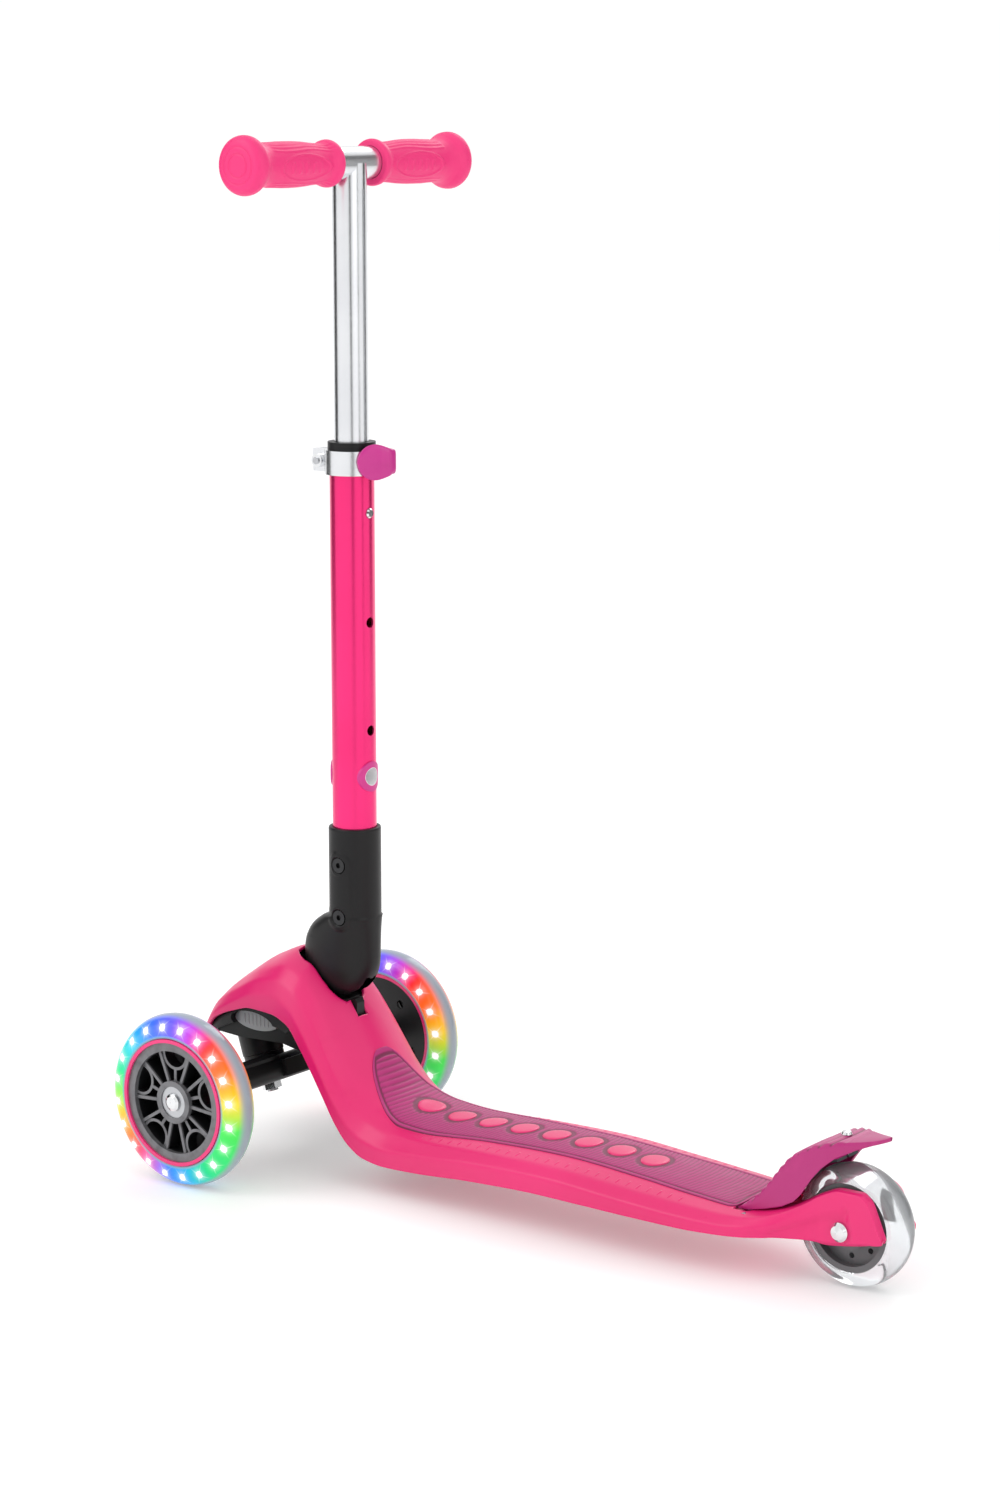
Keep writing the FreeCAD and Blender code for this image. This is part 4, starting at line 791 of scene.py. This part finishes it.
ring_pink = moulded("gloss_pink_trim", (0.86, 0.03, 0.2), (0.75, 0.02, 0.16), 0.26, coat=0.25)
for side, word in ((1, "left"), (-1, "right")):
    centre_x = side * track_half
    tyre_finish = lit_tyre(f"lit_tyre_{word}", centre_x)
    tyre_points = wheel_ring(front_profile, centre_x, front_y, front_z, side, 160)
    front_tyre = grid_piece(f"lit_tyre_{word}", tyre_points, tyre_finish, ring=True, loop=True, closed=True)
    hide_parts(f"front_tyre_{word}", f"wheel_lights_{word}")
    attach(front_tyre, f"wheel_{word}")
    dress(ring_pink, f"trim_ring_{word}")
    dress(cast_rim(f"cast_rim_{word}", centre_x), f"front_rim_{word}")

# ---------------------------------------------------------------- hinge sleeve
# Black moulded boot: a socket for the lower tube that swells forward into the
# folding knuckle, slotted over the frame's lug, with two screws in a panel.
column_y = centre("lower_tube").y
_, pivot_y, pivot_z = centre("fold_pivot_pin")
SOCKET_R, KNUCKLE_R, SCREW_Z = 18.15, 30.0, (217.0, 180.0)
sleeve_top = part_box("hinge_sleeve")[1].z / MM
low_angle = np.radians(np.linspace(90, 2, 40))
level = np.concatenate([pivot_z - KNUCKLE_R * np.sin(low_angle), np.linspace(pivot_z, sleeve_top - 1.2, 110)])
rise_over = level - pivot_z
reach = np.sqrt(np.maximum(KNUCKLE_R ** 2 - rise_over ** 2, 0.3))
front_edge = np.minimum(pivot_y - reach, column_y - SOCKET_R + 0 * level)
front_edge = np.where(rise_over > KNUCKLE_R, column_y - SOCKET_R, front_edge)
window = np.exp(-((level[:, None] - level[None]) / 3.0) ** 2 / 2)
eased = (window @ front_edge) / window.sum(1)
front_edge = np.where(rise_over > 12, np.maximum(eased, front_edge - 0.4), front_edge)
rear_edge = np.where(rise_over < 0, np.minimum(pivot_y + reach, column_y + SOCKET_R), column_y + SOCKET_R)
KNUCKLE_HALF = 17.5
tapered = KNUCKLE_HALF * np.clip(1 - (np.abs(rise_over) / 31.0) ** 3.2, 0.02, 1) ** 0.6
half_wide = np.where(rise_over < 0, tapered, KNUCKLE_HALF + 0.65 * np.clip(rise_over / 25, 0, 1))
turn = np.linspace(0, 2 * math.pi, 168, endpoint=False)
middle, half_long = (front_edge + rear_edge) / 2, (rear_edge - front_edge) / 2
power = np.where(half_long > SOCKET_R + 0.3, 0.86, 1.0)[:, None]
cosine, sine = np.cos(turn)[None], np.sin(turn)[None]
boot_x = half_wide[:, None] * np.sign(cosine) * np.abs(cosine) ** power
boot_y = middle[:, None] + half_long[:, None] * np.sign(sine) * np.abs(sine) ** power
boot_z = np.repeat(level[:, None], len(turn), 1)
along_panel = np.clip(boot_z, SCREW_Z[1], SCREW_Z[0])
panel_gap = np.hypot(boot_y - column_y, boot_z - along_panel)
panel = sunk(panel_gap, 9.4, 1.6) * (boot_x > 4) * 0.75
for screw_z in SCREW_Z:
    screw_gap = np.hypot(boot_y - column_y, boot_z - screw_z)
    screw_seat = 0.35 * sunk(np.abs(screw_gap - 6.6), 0.5, 0.6) - 2.6 * sunk(screw_gap, 5.6, 0.5)
    panel = panel + screw_seat * (boot_x > 4)
boot_x = boot_x + panel
lip_rings = ((SOCKET_R * 0.985, 0.3), (SOCKET_R * 0.94, 0), (15.45, 0.1), (15.4, 6))
lip = np.stack([np.stack([radius * cosine[0], column_y + radius * sine[0], 0 * turn + sleeve_top - below], 1)
                for radius, below in lip_rings])
boot = np.concatenate([np.stack([boot_x, boot_y, boot_z], 2), lip])
cell = (boot[:-1, :-1] + boot[1:, 1:]) / 2
cell = np.concatenate([cell, ((boot[:-1, -1:] + boot[1:, :1]) / 2)], 1)
from_pivot = np.degrees(np.arctan2(cell[..., 2] - pivot_z, cell[..., 1] - pivot_y)) % 360
lug_slot = (np.abs(cell[..., 0]) < 5.5) & (from_pivot > 200) & (from_pivot < 332)
hinge_boot = grid_piece("hinge_boot", boot, black_plastic, keep=~lug_slot, ring=True)
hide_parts("hinge_sleeve")
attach(hinge_boot, "column")

# ---------------------------------------------------------------- tubes
# Lower tube: pink anodised aluminium. Stem, cross tube and collar: clear
# anodised aluminium with the fine lengthwise lines of drawn tube.
def drawn_tube(name, colour, deep, metal, roughness, stretch, coat=0.0):
    """Anodised drawn aluminium: hairlines along the tube, faint cloudy dye."""
    finish = Finish(name)
    lines = finish.noise(700.0, 3.0, stretch)
    cloud = finish.noise(14.0, 3.0)
    tint = finish.between(cloud.step(0.35, 0.75) * 0.5 + lines * 0.15, colour, deep)
    return finish.set(base_color=tint, metallic=metal, roughness=roughness + (lines - 0.5) * 0.1,
                      normal=finish.bump(lines, 0.012, 0.35), coat_weight=coat, coat_roughness=0.12)


SILVER, SILVER_DEEP = (0.80, 0.81, 0.83), (0.66, 0.67, 0.70)
pink_tube = drawn_tube("pink_anodised_tube", (0.9, 0.03, 0.2), (0.8, 0.02, 0.16), 0.75, 0.24,
                       (1, 1, 0.02), 0.1)
silver_tube = drawn_tube("clear_anodised_tube", SILVER, SILVER_DEEP, 1.0, 0.24, (1, 1, 0.02))
silver_bar = drawn_tube("clear_anodised_bar", SILVER, SILVER_DEEP, 1.0, 0.26, (0.02, 1, 1))
dress(pink_tube, "lower_tube")
dress(silver_tube, "stem", "clamp_collar")
dress(silver_bar, "cross_tube")

# ---------------------------------------------------------------- clamp lever
# Glossy lever of the quick clamp: a tall band bent round the tube from its cam
# to a round thumb pad, which flares off the tube; two rings are on its back.
plum_plastic = moulded("plum_gloss_plastic", (0.58, 0.022, 0.26), (0.42, 0.014, 0.18), 0.3, coat=0.2)
cam_x, cam_y, _ = centre("clamp_barrel_pin")
LEVER_PATH = np.array([
    (-10.5, -26.5), (-4, -27.2), (4, -25.6), (11, -21.8), (17.4, -16.4), (22.6, -8.6), (26.2, -0.6),
    (28.4, 6.6), (28.6, 11.6), (26.4, 14.6), (22, 16.2), (17, 17.2), (10.6, 18.6), (4.6, 20)])
PAD_R, PAD_RUN, BAND_HALF, BAND_Z = 12.2, 12.3, 7.2, 496.4
PATH_TURN = math.radians(37.6)
path_x = cam_x + 13.0 - LEVER_PATH[:, 0] * math.sin(PATH_TURN) + LEVER_PATH[:, 1] * math.cos(PATH_TURN)
path_y = column_y + LEVER_PATH[:, 0] * math.cos(PATH_TURN) + LEVER_PATH[:, 1] * math.sin(PATH_TURN)
path_run = np.concatenate([[0], np.cumsum(np.hypot(np.diff(path_x), np.diff(path_y)))])
lever_at = path_run[-1] * np.sin(np.linspace(0, math.pi / 2, 150))
lever_path = flowing(lever_at, path_run, np.stack([path_x, path_y], 1))
ahead = np.gradient(lever_path, axis=0)
ahead /= np.hypot(ahead[:, 0], ahead[:, 1])[:, None]
from_pad = lever_at - (path_run[-1] - PAD_RUN)
pad_half = np.sqrt(np.maximum(PAD_R ** 2 - np.minimum(from_pad, PAD_R - 0.05) ** 2, 0))
band_half = np.interp(lever_at, [0, 12, 40, path_run[-1] - 2 * PAD_RUN, path_run[-1] - 1.4 * PAD_RUN],
                      [5.4, 6.4, BAND_HALF, BAND_HALF + 1.2, PAD_R * 0.93])
lever_half = np.where(from_pad > -0.36 * PAD_R, pad_half, band_half)
lever_half = np.maximum(np.where(from_pad > 0, pad_half, lever_half), 0.3)
up_share = np.sin(np.linspace(-1, 1, 41) * math.pi / 2)
outer = 1.5 * (1 - np.abs(up_share) ** 6) ** 0.5
pad_gap = np.hypot(from_pad[:, None], lever_half[:, None] * up_share[None])
pressed = 0.55 * (sunk(np.abs(pad_gap - 7.6), 0.5, 0.5) + sunk(np.abs(pad_gap - 3.9), 0.45, 0.5))
pressed = pressed * (outer[None] > 0.8)
side_out = np.concatenate([outer[None] - pressed, np.repeat(-outer[None, -2:0:-1], 150, 0)], 1)
side_up = np.concatenate([up_share, up_share[-2:0:-1]])[None] * lever_half[:, None]
lever_band = np.stack([lever_path[:, :1] + ahead[:, 1:] * side_out,
                       lever_path[:, 1:] - ahead[:, :1] * side_out, BAND_Z + side_up], 2)
lever_parts = [grid_piece("lever_band", lever_band, plum_plastic, ring=True, closed=True)]
for low, high in ((489.0, 491.4), (498.6, 503.0)):
    cam_profile = np.array([
        (0.05, low), (5.6, low), (6.2, low + 0.6), (6.2, high - 0.6), (5.6, high), (0.05, high)])
    cam_ring = np.stack([cam_x + cam_profile[None, :, 0] * np.cos(knuckle_turn)[:, None],
                         cam_y + cam_profile[None, :, 0] * np.sin(knuckle_turn)[:, None],
                         np.repeat(cam_profile[None, :, 1], 40, 0)], 2)
    lever_parts.append(grid_piece(f"lever_cam_{low:.0f}", cam_ring, plum_plastic, loop=True, closed=True))
thumb_lever = join(*lever_parts)
thumb_lever.name = "thumb_lever"
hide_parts("clamp_lever")
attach(thumb_lever, "lever")

# ---------------------------------------------------------------- tube grommet
# Moulded grommet in the lower tube for a lanyard, with a bright bore.
grommet = Finish("pink_grommet_white_bore")
from_bore = grommet.add("ShaderNodeCombineXYZ", {}, grommet.axis("X"),
                        grommet.axis("Z") - centre("tube_grommet").z * MM)
bore_gap = grommet.add("ShaderNodeVectorMath", {"operation": "LENGTH"}, from_bore, out="Value")
cloud = grommet.noise(80.0, 3.0)
in_bore = 1.0 - bore_gap.step(0.0061, 0.0065)
grommet.set(base_color=grommet.between(in_bore, (0.62, 0.02, 0.24), (0.9, 0.9, 0.91)),
            roughness=0.3 + cloud * 0.1, coat_weight=0.2)
dress(grommet.material, "tube_grommet")

# ---------------------------------------------------------------- fold button
# Grey oval push button in the frame's side, with plain ribs for the thumb.
grey_button = moulded("grey_button_plastic", (0.26, 0.265, 0.27), (0.2, 0.205, 0.21), 0.3, coat=0.2)
dress(grey_button, "fold_button")
_, button_y, button_z = centre("fold_button")
button_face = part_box("fold_button")[1].x / MM
rib_parts = []
lengthways, upward = np.linspace(-1, 1, 9), np.linspace(-1, 1, 13)
BUTTON_RIB_PITCH = 3.6
dome = np.sqrt(np.maximum(0, 1 - lengthways[:, None] ** 2)) * np.sqrt(np.maximum(0, 1 - upward[None] ** 4))
for number in range(-3, 4):
    half_tall = 4.6 * math.sqrt(1 - (number * BUTTON_RIB_PITCH / 17) ** 2)
    rib_y = button_y + number * BUTTON_RIB_PITCH + 0.8 * lengthways[:, None] + 0 * upward[None]
    rib_z = button_z + half_tall * upward[None] + 0 * lengthways[:, None]
    rib_x = button_face - 0.15 + 0.6 * dome
    rib_points = np.stack([rib_x, rib_y, rib_z], 2)
    rib_parts.append(grid_piece(f"button_rib_{number}", rib_points, grey_button, flip=True))
button_ribs = join(*rib_parts)
button_ribs.name = "button_ribs"
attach(button_ribs, "release_button")

# ---------------------------------------------------------------- grips
# Soft rubber grips pushed on the cross tube: an inner flange, wavy ridges
# along the palm, an oval panel front and back and a round safety bulb.
GRIP_PROFILE = np.array([
    (21, 11.2), (21, 14.4), (21.8, 15.4), (23.6, 15.8), (25.8, 15.4), (28.4, 13.9), (32, 13.0), (39, 13.3),
    (49, 14.2), (60, 14.7), (71, 14.8), (80, 14.4), (88, 14.2), (93, 14.8), (97, 16.3), (100, 18.2),
    (102.6, 19.3), (105, 19.5), (107.4, 19.0), (109.4, 17.7), (110.8, 15.6), (111.3, 13.2), (111.4, 10.4),
    (111.45, 7), (111.45, 3.5), (111.45, 0.05)])
grip_rubber = moulded("pink_grip_rubber", (0.88, 0.03, 0.2), (0.76, 0.02, 0.16), 0.48, grain_mm=0.1)
_, bar_y, bar_z = centre("cross_tube")
grip_run = np.concatenate([[0], np.cumsum(np.hypot(*np.diff(GRIP_PROFILE, axis=0).T))])
outline = flowing(np.linspace(0, grip_run[-1], 230), grip_run, GRIP_PROFILE)
around = np.linspace(-math.pi, math.pi, 180, endpoint=False)
grip_x = np.repeat(outline[:, :1], 180, 1)
grip_r = np.repeat(outline[:, 1:], 180, 1)
facing = (around[None] + math.pi / 2 + 0.15) % math.pi - math.pi / 2
oval = np.sqrt(((grip_x - 58) / 25) ** 2 + (facing / 0.62) ** 2)
on_body = sunk(np.abs(grip_x - 57), 30, 4)
edge_line = sunk(np.abs(oval - 1.0), 0.05, 0.05)
panel_field = sunk(oval, 0.93, 0.05)
pips = sunk(np.abs((grip_x - 58 + 3.5) % 7.0 - 3.5), 1.3, 0.8) * sunk(np.abs(facing), 0.26, 0.08)
pips = pips * sunk(np.abs(grip_x - 58), 19, 1)
waves = 0
for number in range(3):
    middle = 0.86 + 0.22 * number + 0.07 * np.sin((grip_x - 30) / 9.0)
    waves = waves + sunk(np.abs(np.abs(facing) - middle), 0.055, 0.06)
cap_rings = sunk(np.abs(grip_r - 12.2), 0.5, 0.5) + sunk(np.abs(grip_r - 7.6), 0.5, 0.5)
on_cap = grip_x > 110.6
grip_r = grip_r + on_body * (0.5 * edge_line - 0.25 * panel_field + 0.5 * pips * panel_field
                             + 0.45 * waves * (oval > 1.08))
cap_dent = np.where(on_cap, 0.45 * cap_rings, 0)
for side, word in ((1, "left"), (-1, "right")):
    grip_points = np.stack([side * (grip_x - cap_dent), bar_y + grip_r * np.cos(around)[None],
                            bar_z + grip_r * np.sin(around)[None]], 2)
    grip = grid_piece(f"rubber_grip_{word}", grip_points, grip_rubber, ring=True, flip=side == -1)
    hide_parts(f"grip_{word}")
    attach(grip, "bar")
